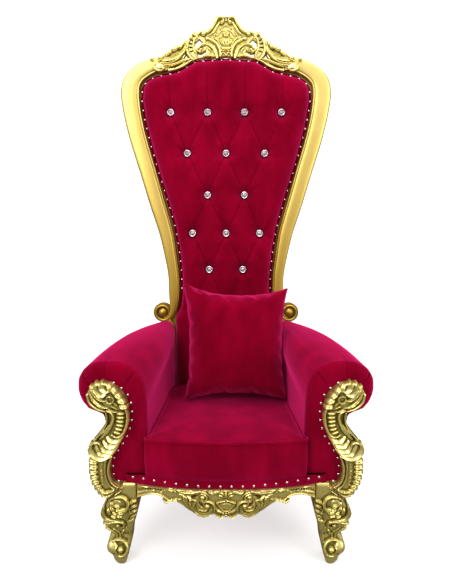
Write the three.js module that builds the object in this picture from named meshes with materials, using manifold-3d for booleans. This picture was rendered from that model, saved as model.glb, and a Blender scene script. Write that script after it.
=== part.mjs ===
import * as THREE from "three";
import { mergeVertices } from "three/addons/utils/BufferGeometryUtils.js";
import Module from "manifold-3d";

// A tall upholstered throne with a gilded, carved frame, in millimetres.
// X runs across the seat, the front faces -Y and +Z is up. Heights are above the floor.
// Shapes of paired pieces are drawn for the side where X is positive.

// Driving dimensions
const GAP = 0.4; // clearance between touching pieces
const RECLINE = 10; // lean of the back, in degrees
const BACK_LEVEL = 450; // at this height the face of the back is at BACK_DEPTH
const BACK_DEPTH = 170;
const FRAME_THICKNESS = 42; // of the back frame
const REBATE = 22; // how far behind the face the pad's nailed border lies
const PAD_CROWN = 38;
const FRONT_FACE = 330; // how far forward of the middle the gilded seat front stands
const SEAT_BOW = 34; // the middle of the seat front bows this much further forward
const APRON_HALF = 286; // half the span between the front legs
const RAIL_TOP = 292; // the wooden rails end here and the upholstery starts
const RAIL_BOTTOM = 240;
const RAIL_THICKNESS = 24;
const DECK_TOP = 309;
const SEAT_TOP = 448;
const SEAT_CROWN = 9;
const ARM_FRONT = 312;
const STILE_FOOT = 300; // height where the back frame stands on the rear legs
const REAR_FOOT_RAKE = 150; // how far the rear feet stand behind the stiles
const PILLOW_WIDTH = 370;
const PILLOW_HEIGHT = 402;
const PILLOW_PLACE = 29; // the pillow stands this far to the right of the middle
const PILLOW_LEAN = 16; // in degrees
const BUTTON_RADIUS = 13.5;

const wasm = await Module();
wasm.setup();

const finishes = {
  gilding: { color: 0xd0a63c, metalness: 0.9, roughness: 0.3 },
  velvet: { color: 0x9c0a35, metalness: 0, roughness: 0.9 },
  crystal: { color: 0xe3e6ee, metalness: 0.2, roughness: 0.1 },
};

// Solids and joins

// The geometry with only its positions, and its shared corners merged.
function welded(geometry) {
  const bare = geometry.clone();
  for (const name of Object.keys(bare.attributes)) {
    if (name !== "position") bare.deleteAttribute(name);
  }
  return mergeVertices(bare, 1e-4);
}

function toSolid(geometry) {
  const merged = welded(geometry);
  const vertProperties = new Float32Array(merged.attributes.position.array);
  const triVerts = new Uint32Array(merged.index.array);
  return new wasm.Manifold(new wasm.Mesh({ numProp: 3, vertProperties, triVerts }));
}

function toGeometry(solid) {
  const mesh = solid.getMesh();
  const geometry = new THREE.BufferGeometry();
  geometry.setAttribute("position", new THREE.BufferAttribute(mesh.vertProperties, 3));
  geometry.setIndex(new THREE.BufferAttribute(mesh.triVerts, 1));
  return geometry;
}

const join = (geometries) => geometries.map(toSolid).reduce((sum, next) => sum.add(next));
const cut = (solid, geometries) => geometries.map(toSolid).reduce((left, next) => left.subtract(next), solid);

// The same geometry with X turned over and its faces still pointing out.
function mirrored(geometry) {
  const copy = (geometry.index ? geometry.toNonIndexed() : geometry.clone()).scale(-1, 1, 1);
  const p = copy.attributes.position.array;
  for (let i = 0; i < p.length; i += 9) {
    const second = p.slice(i + 3, i + 6);
    p.copyWithin(i + 3, i + 6, i + 9);
    p.set(second, i + 6);
  }
  return copy;
}

const bothSides = (geometries) => geometries.flatMap((g) => [g, mirrored(g)]);

// Triangles that fill a nearly flat ring, wound like the ring itself.
function capFaces(ring) {
  const normal = new THREE.Vector3();
  ring.forEach((p, i) => normal.add(p.clone().cross(ring[(i + 1) % ring.length])));
  const size = normal.toArray().map(Math.abs);
  const dropped = size.indexOf(Math.max(...size));
  const flat = ring.map((p) => new THREE.Vector2(...p.toArray().filter((_, axis) => axis !== dropped)));
  const turn = Math.sign(THREE.ShapeUtils.area(flat));
  return THREE.ShapeUtils.triangulateShape(flat, []).map((face) => {
    const faceTurn = Math.sign(THREE.ShapeUtils.area(face.map((i) => flat[i])));
    return faceTurn === turn ? face : [face[0], face[2], face[1]];
  });
}

// A closed skin over a row of rings with equal counts, with filled ends.
function loft(rings) {
  const count = rings[0].length;
  const last = rings.length - 1;
  const index = [];
  for (let r = 0; r < last; r++) {
    for (let i = 0; i < count; i++) {
      const a = r * count + i;
      const b = r * count + ((i + 1) % count);
      index.push(a, b, b + count, a, b + count, a + count);
    }
  }
  capFaces(rings[0]).forEach(([a, b, c]) => index.push(a, c, b));
  capFaces(rings[last]).forEach((face) => index.push(...face.map((i) => last * count + i)));
  const points = rings.flat();
  let volume = 0;
  for (let i = 0; i < index.length; i += 3) {
    const [a, b, c] = [0, 1, 2].map((k) => points[index[i + k]]);
    volume += a.dot(b.clone().cross(c));
  }
  if (volume < 0) index.reverse();
  return new THREE.BufferGeometry().setFromPoints(points).setIndex(index);
}

const vec3 = (x, y, z) => new THREE.Vector3(x, y, z);
const vec2 = ([x, y]) => new THREE.Vector2(x, y);
const radians = THREE.MathUtils.degToRad;

// Evenly spaced points on a smooth curve through the given ones.
function smooth(pairs, count) {
  return new THREE.SplineCurve(pairs.map(vec2)).getSpacedPoints(count);
}

// The value at x on a line through points whose x rises or falls throughout.
function valueAt(pairs, x) {
  const rising = [...pairs].sort((a, b) => a[0] - b[0]);
  const found = rising.findIndex(([px]) => px >= x);
  const next = found < 1 ? (found === 0 ? 1 : rising.length - 1) : found;
  const [[x0, y0], [x1, y1]] = [rising[next - 1], rising[next]];
  return y0 + ((y1 - y0) * (x - x0)) / (x1 - x0);
}

// The left-hand copy of a line, in the opposite order.
const across = (pairs) => [...pairs].reverse().map(([x, y]) => [-x, y]);

// A right-hand outline, from the middle round to the middle, closed with its mirror image.
const closeAcross = (pairs) => [...pairs, ...across(pairs.filter(([x]) => x !== 0))];

// The edge of a closed outline drawn in by a distance, whichever way round it runs.
function inset(pairs, distance) {
  const inward = distance * Math.sign(THREE.ShapeUtils.area(pairs.map(vec2)));
  return pairs.map(([x, y], i) => {
    const [x0, y0] = pairs[(i + pairs.length - 1) % pairs.length];
    const [x1, y1] = pairs[(i + 1) % pairs.length];
    const along = new THREE.Vector2(x1 - x0, y1 - y0).normalize();
    return [x - along.y * inward, y + along.x * inward];
  });
}

// A flat board with this outline and these holes, between two levels.
function board(outline, low, high, holes = []) {
  const ring = outline.map(vec2);
  if (THREE.ShapeUtils.isClockWise(ring)) ring.reverse();
  const shape = new THREE.Shape(ring);
  shape.holes = holes.map((hole) => new THREE.Path(hole.map(vec2)));
  const geometry = new THREE.ExtrudeGeometry(shape, { depth: high - low, bevelEnabled: false });
  return geometry.translate(0, 0, low);
}

// Carving. Each stroke stands on a face, whose level is a function of the place.

// Section of a carved ridge: share of the half width, share of the rise.
const RIDGE = [
  [0, 1],
  [-1.2, -0.2],
  [1.2, -0.2],
];

// A raised moulding along a line, with a width that swells and tapers.
function moulding(pairs, widths, face, steps = 8, rise = 0.9) {
  const centres = smooth(pairs, steps);
  const swell = new THREE.SplineCurve(widths.map((w, i) => new THREE.Vector2(i / (widths.length - 1), w)));
  const rings = centres.map((c, i) => {
    const before = centres[Math.max(i - 1, 0)];
    const after = centres[Math.min(i + 1, steps)];
    const along = after.clone().sub(before).normalize();
    const half = Math.max(swell.getPoint(i / steps).y / 2, 0.5);
    return RIDGE.map(([side, up]) => {
      const aside = half * side;
      return vec3(c.x - along.y * aside, c.y + along.x * aside, face(c.x, c.y) + half * rise * up);
    });
  });
  return loft(rings);
}

// A leaf lobe, bead or boss: a faceted oval dome that stands out of the face.
function lobe(x, y, length, width, height, angle, face) {
  const geometry = welded(new THREE.ConeGeometry(1, 1, 5)).translate(0, 0.4, 0);
  geometry.rotateX(Math.PI / 2);
  geometry.scale(length / 2, width / 2, height);
  geometry.rotateZ(radians(angle));
  return geometry.translate(x, y, face(x, y));
}

// Points of a spiral from its outer radius in towards its eye.
function spiral(x, y, from, to, startAngle, sweep, count = 12) {
  return Array.from({ length: count + 1 }, (_, i) => {
    const radius = from + ((to - from) * i) / count;
    const angle = radians(startAngle + (sweep * i) / count);
    return [x + radius * Math.cos(angle), y + radius * Math.sin(angle)];
  });
}

// Lobes that fan out round a scroll like acanthus fingers.
function fan(x, y, radius, fromAngle, toAngle, count, length, width, height, face) {
  return Array.from({ length: count }, (_, i) => {
    const angle = fromAngle + ((toAngle - fromAngle) * i) / (count - 1);
    const px = x + radius * Math.cos(radians(angle));
    const py = y + radius * Math.sin(radians(angle));
    return lobe(px, py, length, width, height, angle, face);
  });
}

// Equal lobes at even steps along a line, each turned from it by the given angle.
function row(pairs, count, length, width, height, turn, face) {
  const curve = new THREE.SplineCurve(pairs.map(vec2));
  return Array.from({ length: count }, (_, i) => {
    const t = (i + 0.5) / count;
    const at = curve.getPointAt(t);
    const along = curve.getTangentAt(t);
    const angle = THREE.MathUtils.radToDeg(Math.atan2(along.y, along.x)) + turn;
    return lobe(at.x, at.y, length, width, height, angle, face);
  });
}

// Back, drawn on its own sloping face: X across, Y up the slope from BACK_LEVEL, Z forward

const upSlope = (height) => (height - BACK_LEVEL) / Math.cos(radians(RECLINE));
const onSlope = (pairs) => pairs.map(([x, height]) => [x, upSlope(height)]);
const backFaceAt = (height) => BACK_DEPTH + (height - BACK_LEVEL) * Math.tan(radians(RECLINE));
const onFace = () => 0;

// Middle of the frame's band and its width, from the top rail down to the scroll.
const BAND = [
  [228, 1661, 50],
  [277, 1655, 54],
  [315, 1638, 58],
  [345, 1616, 62],
  [364, 1589, 67],
  [370, 1553, 69],
  [367, 1510, 67],
  [355, 1440, 66],
  [306, 1262, 63],
  [235, 1024, 55],
  [217, 931, 47],
  [206, 858, 44],
  [204, 790, 43],
  [206, 748, 34],
  [213, 712, 20],
  [226, 688, 13],
];
const SCROLL = { x: 250, height: 712, radius: 36, boss: 21 };

// Moulded section of the band: share of the half width, and level on the face.
const BAND_SECTION = [
  [1, -FRAME_THICKNESS],
  [1, -4],
  [0.82, 1.5],
  [-0.8, 1],
  [-1, -5],
  [-1, -FRAME_THICKNESS],
];

function makeBand() {
  const path = BAND.map(([x, height, width]) => ({ at: vec2([x, upSlope(height)]), width }));
  const rings = path.map(({ at, width }, i) => {
    const before = path[Math.max(i - 1, 0)].at;
    const after = path[Math.min(i + 1, path.length - 1)].at;
    const along = after.clone().sub(before).normalize();
    return BAND_SECTION.map(([share, level]) => {
      const reach = (share * width) / 2;
      return vec3(at.x - along.y * reach, at.y + along.x * reach, level);
    });
  });
  return loft(rings);
}

function makeScroll() {
  const [x, y] = [SCROLL.x, upSlope(SCROLL.height)];
  const sunk = 6;
  const disc = welded(new THREE.CylinderGeometry(SCROLL.radius, SCROLL.radius, FRAME_THICKNESS - sunk, 14));
  disc.rotateX(Math.PI / 2).translate(x, y, -(FRAME_THICKNESS + sunk) / 2);
  const face = () => -sunk;
  const curl = moulding(spiral(x, y, SCROLL.radius - 4, SCROLL.boss, 215, 400), [12, 8, 5], face, 8, 1);
  return [disc, curl, lobe(x, y, 2 * SCROLL.boss, 2 * SCROLL.boss, 10, 0, face)];
}

// Rear layer of the frame, which the pad's nailed border rests on: outer and inner edge.
const REAR_OUTER = [
  [262, STILE_FOOT],
  [262, 664],
  [212, 700],
  [207, 860],
  [218, 931],
  [236, 1024],
  [306, 1262],
  [355, 1440],
  [368, 1513],
  [370, 1556],
  [345, 1614],
  [277, 1655],
  [235, 1668],
  [180, 1670],
  [75, 1676],
];
const REAR_INNER = [
  [110, 1636],
  [150, 1620],
  [240, 1595],
  [296, 1562],
  [308, 1520],
  [294, 1434],
  [243, 1255],
  [180, 1040],
  [160, 872],
  [158, 786],
  [160, STILE_FOOT],
];
const STILE_INNER = 206;
const STILE_OUTER = 262;

function makeBackFrame() {
  const outline = onSlope([...REAR_OUTER, ...across(REAR_OUTER), ...across(REAR_INNER), ...REAR_INNER]);
  const post = onSlope([
    [STILE_INNER, STILE_FOOT],
    [STILE_OUTER, STILE_FOOT],
    [STILE_OUTER, 668],
    [222, 690],
    [STILE_INNER, 664],
  ]);
  const sides = bothSides([board(post, -REBATE - 1, 0), makeBand(), ...makeScroll()]);
  return toGeometry(join([board(outline, -FRAME_THICKNESS, -REBATE), ...sides]));
}

// Crest, a pierced board that stands on the top rail

const CREST_TOP = [
  [0, 1836],
  [26, 1834],
  [37, 1825],
  [48, 1809],
  [61, 1790],
  [77, 1784],
  [96, 1786],
  [107, 1779],
  [121, 1783],
  [133, 1767],
  [147, 1746],
  [162, 1738],
  [175, 1735],
  [184, 1722],
  [199, 1715],
  [210, 1706],
  [224, 1695],
];
const CREST_FOOT = [
  [224, 1637],
  [204, 1637],
  [185, 1641],
  [166, 1650],
  [148, 1662],
  [122, 1677],
  [89, 1682],
  [37, 1684],
  [0, 1687],
];
const CREST_HOLES = [
  [
    [86, 1733],
    [92, 1744],
    [111, 1753],
    [122, 1744],
    [127, 1725],
    [114, 1714],
    [98, 1718],
  ],
  [
    [76, 1694],
    [82, 1704],
    [103, 1709],
    [113, 1693],
    [103, 1686],
    [85, 1686],
  ],
  [
    [139, 1681],
    [151, 1694],
    [163, 1681],
  ],
];

function makeCrest() {
  const holes = CREST_HOLES.map(onSlope);
  const outline = onSlope(closeAcross([...CREST_TOP, ...CREST_FOOT]));
  const plate = board(outline, GAP - REBATE, 0, [...holes, ...holes.map(across)]);
  // The ends of the leaves rise to lie in front of the frame's band.
  const overBand = (x) => 6 * THREE.MathUtils.smoothstep(x, 200, 218);
  const stroke = (pairs, widths, steps) => moulding(onSlope(pairs), widths, onFace, steps);
  const leafEnd = (pairs, widths, steps) => moulding(onSlope(pairs), widths, overBand, steps, 0.8);
  const lobes = (pairs, ...rest) => row(onSlope(pairs), ...rest, onFace);
  const up = upSlope;
  const middle = [
    lobe(0, up(1770), 18, 18, 10, 0, onFace),
    ...fan(0, up(1770), 16, 18, 306, 5, 19, 13, 6, onFace),
    lobe(0, up(1818), 22, 12, 8, 90, onFace),
  ];
  const sides = [
    stroke([[4, 1829], [26, 1822], [40, 1801], [51, 1778], [50, 1757]], [7, 12, 8], 4),
    stroke([[50, 1757], [32, 1742], [20, 1722], [16, 1700], [2, 1692]], [8, 10, 7], 4),
    lobe(23, up(1795), 18, 10, 5, -50, onFace),
    lobe(36, up(1766), 9, 9, 7, 0, onFace),
    lobe(70, up(1733), 9, 9, 7, 0, onFace),
    stroke([[56, 1752], [66, 1766], [88, 1774], [108, 1769], [121, 1756]], [7, 15, 9], 4),
    stroke([[121, 1774], [134, 1752], [137, 1728], [124, 1709], [104, 1714]], [8, 12, 6], 4),
    stroke([[62, 1742], [63, 1722], [76, 1711], [92, 1713]], [9, 11, 6], 3),
    stroke([[26, 1692], [48, 1694], [66, 1688], [96, 1684], [122, 1684]], [6, 9, 6], 3),
    stroke([[128, 1700], [142, 1705], [160, 1700], [180, 1684], [190, 1668]], [6, 13, 7], 4),
    ...lobes([[36, 1712], [50, 1716], [56, 1732]], 2, 15, 10, 6, 60),
    ...lobes([[146, 1722], [172, 1712], [198, 1696], [216, 1680]], 3, 27, 13, 8, 70),
    ...lobes([[134, 1664], [160, 1656], [190, 1650], [214, 1650]], 2, 20, 11, 6, 60),
    leafEnd([[184, 1668], [208, 1664], [232, 1668], [262, 1671], [283, 1676]], [8, 16, 4], 4),
    leafEnd([[196, 1660], [222, 1652], [244, 1652], [268, 1660]], [8, 13, 3], 3),
  ];
  return toGeometry(join([plate, ...middle, ...bothSides(sides)]));
}

// Upholstery of the back

const PAD_EDGE = [
  [0, 1684],
  [37, 1681],
  [89, 1679],
  [122, 1674],
  [148, 1659],
  [185, 1638],
  [204, 1633],
  [240, 1627],
  [287, 1614],
  [312, 1598],
  [330, 1568],
  [332, 1518],
  [318, 1434],
  [297, 1350],
  [272, 1262],
  [237, 1150],
  [206, 1045],
  [191, 958],
  [182, 872],
  [180, 790],
  [187, 740],
  [200, 690],
  [196, 650],
  [196, 425],
];
const BUTTON_ROWS = [
  [1472, 71, 213],
  [1319, 0, 149],
  [1162, 71],
  [1017, 0, 130],
  [879, 65],
  [733, 0, 125],
];
const BUTTON_LEVEL = 20; // floor of the dimple that a button sits in
const buttonPlaces = BUTTON_ROWS.flatMap(([height, ...distances]) =>
  distances.flatMap((x) => (x === 0 ? [[0, height]] : [[-x, height], [x, height]])),
);

function makeBackPad() {
  const edge = onSlope(closeAcross(PAD_EDGE));
  const ringAt = (distance, level) => inset(edge, distance).map(([x, y]) => vec3(x, y, level));
  const body = loft([
    ringAt(GAP, GAP - REBATE),
    ringAt(GAP, -8),
    ringAt(14, 0),
    ringAt(24, PAD_CROWN * 0.62),
    ringAt(46, PAD_CROWN),
  ]);
  const profile = [
    [0, BUTTON_LEVEL - GAP],
    [BUTTON_RADIUS + 7, BUTTON_LEVEL - GAP],
    [42, PAD_CROWN + 2],
    [0, PAD_CROWN + 2],
  ];
  const dimple = welded(new THREE.LatheGeometry(profile.map(vec2), 4)).rotateX(Math.PI / 2);
  const dimples = buttonPlaces.map(([x, height]) => dimple.clone().translate(x, upSlope(height), 0));
  return toGeometry(cut(toSolid(body), dimples));
}

function makeButton() {
  const profile = [
    [0, 0],
    [BUTTON_RADIUS, 0],
    [BUTTON_RADIUS * 0.7, 8],
    [0, 8],
  ];
  return welded(new THREE.LatheGeometry(profile.map(vec2), 5)).rotateX(Math.PI / 2);
}

// Covered panel on the rear of the frame
function makeBackPanel() {
  const edge = [
    [0, 1655],
    [240, 1650],
    [330, 1608],
    [352, 1560],
    [350, 1513],
    [318, 1361],
    [251, 1132],
    [200, 931],
    [189, 860],
    [194, 700],
    [240, 655],
    [240, STILE_FOOT + 10],
  ];
  const outline = onSlope(closeAcross(edge));
  const layers = [
    [0, -GAP],
    [0, -6],
    [14, -14],
  ];
  return loft(
    layers.map(([d, level]) => inset(outline, d).map(([x, y]) => vec3(x, y, level - FRAME_THICKNESS))),
  );
}

// Arms and seat. Fronts are drawn upright: X across, Y up, Z forward

const bow = (x) => SEAT_BOW * Math.max(0, 1 - (x / APRON_HALF) ** 2);

const ARM_FACE = ARM_FRONT + 20; // front of the carved board on the arm
const ARM_OUTER = [
  [377, 631],
  [399, 628],
  [417, 618],
  [430, 600],
  [432, 581],
  [426, 565],
  [416, 551],
  [401, 541],
  [378, 534],
  [374, 520],
  [376, 504],
  [385, 478],
  [402, 451],
  [423, 430],
  [434, 410],
  [437, 393],
  [433, 380],
  [438, 368],
  [440, 329],
  [438, 297],
  [428, 272],
  [411, 254],
  [394, 236],
  [378, 233],
];
const ARM_INNER = [
  [331, 282],
  [347, 284],
  [364, 304],
  [371, 329],
  [368, 366],
  [360, 393],
  [341, 422],
  [323, 451],
  [310, 482],
  [304, 513],
  [303, 541],
  [307, 572],
  [319, 595],
  [335, 611],
  [356, 625],
];

function makeArmCarving() {
  const face = () => ARM_FACE;
  const plate = board([...ARM_OUTER, ...ARM_INNER], ARM_FRONT + GAP, ARM_FACE);
  const crescents = [0, 1, 2, 3].map((i) => {
    const line = [
      [350 + 3 * i, 424 - 18 * i],
      [380, 432 - 18 * i],
      [426 - 4 * i, 424 - 18 * i],
    ];
    return moulding(line, [5, 15, 5], face, 3, 1);
  });
  const relief = [
    moulding(spiral(372, 584, 47, 15, 200, -500), [12, 16, 8], face, 11, 1),
    lobe(370, 583, 22, 22, 14, 0, face),
    ...fan(374, 583, 47, -52, 128, 6, 24, 13, 12, face),
    moulding(ARM_INNER.slice(2, 13), [8, 9, 9, 8], face, 7, 1),
    ...row([[343, 532], [343, 500], [352, 468], [372, 438]], 5, 46, 9, 8, 90, face),
    ...crescents,
    moulding([[380, 362], [392, 330], [390, 290], [372, 262]], [10, 14, 8], face, 4, 0.8),
    ...row([[404, 368], [408, 330], [404, 290], [396, 268]], 4, 9, 9, 7, 0, face),
    ...row([[425, 380], [428, 330], [424, 292], [410, 266]], 6, 28, 13, 10, 65, face),
    moulding([[352, 296], [366, 276], [384, 256], [396, 246]], [8, 14, 6], face, 3, 1),
  ];
  return toGeometry(join([plate, ...relief]));
}

// Outline of the arm at its front, and again where it meets the back.
const ARM_SECTION = [
  [372, RAIL_TOP],
  [372, 535],
  [395, 538],
  [428, 546],
  [449, 568],
  [458, 603],
  [453, 640],
  [434, 670],
  [405, 687],
  [370, 692],
  [330, 689],
  [295, 676],
  [268, 652],
  [254, 615],
  [250, 560],
  [250, 440],
  [250, RAIL_TOP],
];
const ARM_SECTION_BACK = [
  [252, RAIL_TOP],
  [252, 590],
  [256, 600],
  [267, 608],
  [276, 622],
  [277, 640],
  [275, 655],
  [268, 667],
  [258, 675],
  [245, 679],
  [230, 679],
  [219, 674],
  [209, 664],
  [204, 650],
  [201, 600],
  [201, 440],
  [201, RAIL_TOP],
];

function makeArmPad() {
  const front = ARM_SECTION.map(([x, z]) => vec3(x, z, ARM_FRONT));
  const back = ARM_SECTION_BACK.map(([x, z]) => vec3(x, z, 2 - backFaceAt(z)));
  // Between its ends the roll swells outwards and upwards.
  const middle = front.map((p, i) => {
    const swell = THREE.MathUtils.smoothstep(p.y, 540, 600);
    return p.clone().lerp(back[i], 0.5).add(vec3(Math.sign(p.x - 349) * 18 * swell, 14 * swell, 0));
  });
  const edge = inset(ARM_SECTION, 5).map(([x, z]) => vec3(x, Math.max(z, RAIL_TOP), ARM_FRONT));
  return loft([edge, front.map((p, i) => p.clone().lerp(back[i], 0.015)), middle, back]);
}

// Front leg: height, inner and outer side, back and front.
const LEG_BACK = 206;
const LEG = [
  [RAIL_TOP - GAP, 287, 321, LEG_BACK, 328],
  [262, 287, 343, LEG_BACK, 330],
  [235, 287, 371, LEG_BACK, 332],
  [214, 287, 383, 210, 334],
  [188, 289, 399, 220, 334],
  [160, 296, 400, 232, 330],
  [115, 308, 392, 250, 318],
  [99, 311, 373, 254, 310],
  [74, 315, 388, 252, 318],
  [50, 319, 391, 250, 328],
  [26, 326, 379, 254, 328],
  [8, 330, 366, 258, 324],
  [0, 333, 361, 262, 320],
];

function makeFrontLeg() {
  const rings = LEG.map(([y, inner, outer, back, front]) => {
    const corner = Math.min(10, (outer - inner) / 4);
    return [
      vec3(inner + corner, y, front),
      vec3(outer - corner, y, front),
      vec3(outer, y, front - corner),
      vec3(outer, y, back + corner),
      vec3(outer - corner, y, back),
      vec3(inner + corner, y, back),
      vec3(inner, y, back + corner),
      vec3(inner, y, front - corner),
    ];
  });
  const top = RAIL_TOP - GAP;
  const block = welded(new THREE.BoxGeometry(78, top - RAIL_BOTTOM, 96));
  block.translate(332, (top + RAIL_BOTTOM) / 2, ARM_FRONT - GAP - 48);
  const fronts = LEG.map(([height, , , , front]) => [height, front]);
  const face = (x, y) => valueAt(fronts, y) - 1;
  const relief = [
    moulding(spiral(346, 214, 26, 9, 150, -420), [9, 12, 7], face, 8, 1),
    lobe(346, 214, 14, 14, 10, 0, face),
    ...fan(352, 210, 30, -60, 25, 4, 22, 13, 9, face),
    ...row([[301, 274], [300, 240], [304, 200], [310, 172]], 5, 22, 13, 9, 60, face),
    moulding([[322, 280], [318, 254], [316, 220], [330, 180], [346, 168]], [8, 12, 7], face, 4, 1),
    moulding(spiral(354, 142, 20, 7, 170, -430), [8, 10, 5], face, 7, 1),
    ...row([[384, 178], [391, 156], [386, 128]], 2, 18, 11, 8, 20, face),
    moulding([[314, 164], [320, 128], [330, 100], [350, 88]], [8, 13, 8], face, 3, 1),
    moulding(spiral(354, 50, 22, 8, 150, -420), [10, 12, 6], face, 7, 1),
    lobe(354, 50, 13, 13, 9, 0, face),
    ...row([[327, 84], [330, 56], [338, 28]], 3, 15, 9, 7, 20, face),
  ];
  return toGeometry(join([loft(rings), block, ...relief]));
}

// Apron under the seat, a bowed board: its lower edge from the leg to the middle.
const APRON_LOWER = [
  [286, 247],
  [269, 255],
  [236, 264],
  [215, 264],
  [199, 247],
  [179, 239],
  [155, 244],
  [134, 234],
  [114, 217],
  [85, 200],
  [54, 202],
  [36, 208],
  [15, 195],
  [0, 198],
];
const APRON_THICKNESS = 24;
const APRON_HOLES = [
  [
    [52, 236],
    [60, 250],
    [75, 253],
    [84, 243],
    [78, 231],
    [62, 228],
  ],
  [
    [92, 268],
    [104, 273],
    [122, 269],
    [118, 262],
    [100, 260],
  ],
];

function makeApron() {
  const top = RAIL_TOP - GAP;
  const reach = APRON_HALF - GAP;
  const face = (x) => FRONT_FACE + bow(x);
  const half = APRON_LOWER.map(([x]) => Math.min(x, reach));
  const stations = [...half, ...half.slice(0, -1).reverse().map((x) => -x)];
  const rings = stations.map((x) => {
    const low = valueAt(APRON_LOWER, Math.abs(x));
    return [
      vec3(x, top, face(x) - APRON_THICKNESS),
      vec3(x, low, face(x) - APRON_THICKNESS),
      vec3(x, low, face(x)),
      vec3(x, top - 14, face(x)),
      vec3(x, top - 9, face(x) + 7),
      vec3(x, top, face(x) + 6),
    ];
  });
  const middle = [lobe(0, 246, 40, 30, 13, 90, face), ...fan(0, 232, 24, 205, 335, 4, 26, 14, 11, face)];
  const sides = [
    moulding([[14, 272], [34, 262], [38, 240], [30, 220], [12, 210]], [8, 12, 7], face, 4, 1),
    moulding([[44, 264], [66, 268], [92, 252], [90, 228], [66, 216], [50, 224]], [8, 14, 8], face, 5, 1),
    moulding([[96, 246], [124, 252], [150, 262], [176, 266], [206, 270]], [8, 12, 6], face, 3, 1),
    moulding([[112, 226], [136, 243], [158, 251], [184, 248], [204, 256]], [8, 11, 5], face, 3, 1),
    ...row([[92, 212], [118, 232], [150, 252]], 3, 22, 11, 8, 75, face),
    moulding([[208, 273], [236, 272], [262, 265], [281, 258]], [6, 9, 9], face, 3, 1),
  ];
  const holes = APRON_HOLES.map((hole) => board(hole, FRONT_FACE - 60, FRONT_FACE + SEAT_BOW + 20));
  return toGeometry(cut(join([loft(rings), ...middle, ...bothSides(sides)]), bothSides(holes)));
}

// Distance from the middle to the arms' inner faces, at a place this far forward.
function armInside(forward) {
  const front = ARM_SECTION.at(-1)[0];
  const back = ARM_SECTION_BACK.at(-1)[0];
  return valueAt([[ARM_FRONT, front], [-backFaceAt(RAIL_TOP), back]], forward);
}

// Plan of a layer of the seat: its front bows, laps over the arm fronts and narrows to the back.
function seatPlan(frontHalf, forward, sideBow, rear, margin) {
  const front = [0, 0.35, 0.7, 1].map((share) => [share * frontHalf, forward + sideBow * (1 - share ** 2)]);
  const lap = [
    [frontHalf, ARM_FRONT + GAP],
    [armInside(ARM_FRONT) - margin, ARM_FRONT + GAP],
    [armInside(80) - margin, 80],
    [armInside(rear) - margin, rear],
  ];
  return closeAcross([...front, ...lap, [0, rear]]);
}

function makeSeatBase() {
  const plan = seatPlan(322, FRONT_FACE - 4, SEAT_BOW, -138, 2);
  return loft([RAIL_TOP, DECK_TOP].map((y) => plan.map(([x, z]) => vec3(x, y, z))));
}

function makeSeatCushion() {
  const plan = seatPlan(255, FRONT_FACE, 22, -122, 3);
  const centre = 100;
  const layers = [
    [DECK_TOP + GAP, 0.98],
    [DECK_TOP + 8, 1],
    [SEAT_TOP - 8, 1],
    [SEAT_TOP, 0.985],
    [SEAT_TOP + SEAT_CROWN * 0.7, 0.8],
    [SEAT_TOP + SEAT_CROWN, 0.4],
  ];
  const narrowed = (x, share, z) => Math.sign(x) * Math.min(Math.abs(x) * share, armInside(z) - 3);
  return loft(
    layers.map(([y, share]) =>
      plan.map(([x, z]) => {
        const drawn = centre + (z - centre) * share;
        return vec3(drawn > ARM_FRONT ? x * share : narrowed(x, share, drawn), y, drawn);
      }),
    ),
  );
}

// Loose pillow: square, with sides drawn in between its corners.
function makePillow() {
  const side = [
    [1, 1],
    [0.945, 0.45],
    [0.945, -0.45],
  ];
  const origin = new THREE.Vector2();
  const quarter = Math.PI / 2;
  const square = [0, 1, 2, 3].flatMap((k) => side.map((p) => vec2(p).rotateAround(origin, -k * quarter)));
  const outline = square.map((p) => new THREE.Vector2((p.x * PILLOW_WIDTH) / 2, (p.y * PILLOW_HEIGHT) / 2));
  const half = PILLOW_WIDTH / 2;
  const swell = [
    [0.55, 84],
    [0.85, 50],
    [1, 5],
  ];
  const layers = [...swell.map(([share, z]) => [share, -z]), ...[...swell].reverse()];
  return loft(
    layers.map(([share, z]) =>
      outline.map((p) => {
        const round = share === 1 ? 1 : share * Math.min(1, half / p.length() + 0.25 * share ** 3);
        return vec3(p.x * round, p.y * round, z);
      }),
    ),
  );
}

// Rails and rear legs, plain wood behind the carving, drawn with their depth measured forward

const stileFront = -backFaceAt(STILE_FOOT);
const stileBack = stileFront - FRAME_THICKNESS / Math.cos(radians(RECLINE));

// A flat plan of [x, forward] pairs raised between two heights.
const raised = (plan, low, high) => loft([low, high].map((y) => plan.map(([x, z]) => vec3(x, y, z))));

function makeSideRail() {
  const front = LEG_BACK - GAP;
  const outerFront = 368;
  const plan = [
    [outerFront, front],
    [STILE_OUTER - 4, stileFront + 2],
    [STILE_OUTER - 4 - RAIL_THICKNESS, stileFront + 2],
    [outerFront - RAIL_THICKNESS, front],
  ];
  return raised(plan, RAIL_BOTTOM, RAIL_TOP - GAP);
}

function makeRearRail() {
  const plan = [
    [STILE_INNER - 2, stileFront - 6],
    [STILE_INNER - 2, stileFront - 6 - RAIL_THICKNESS],
    [2 - STILE_INNER, stileFront - 6 - RAIL_THICKNESS],
    [2 - STILE_INNER, stileFront - 6],
  ];
  return raised(plan, RAIL_BOTTOM, RAIL_TOP - GAP);
}

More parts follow.
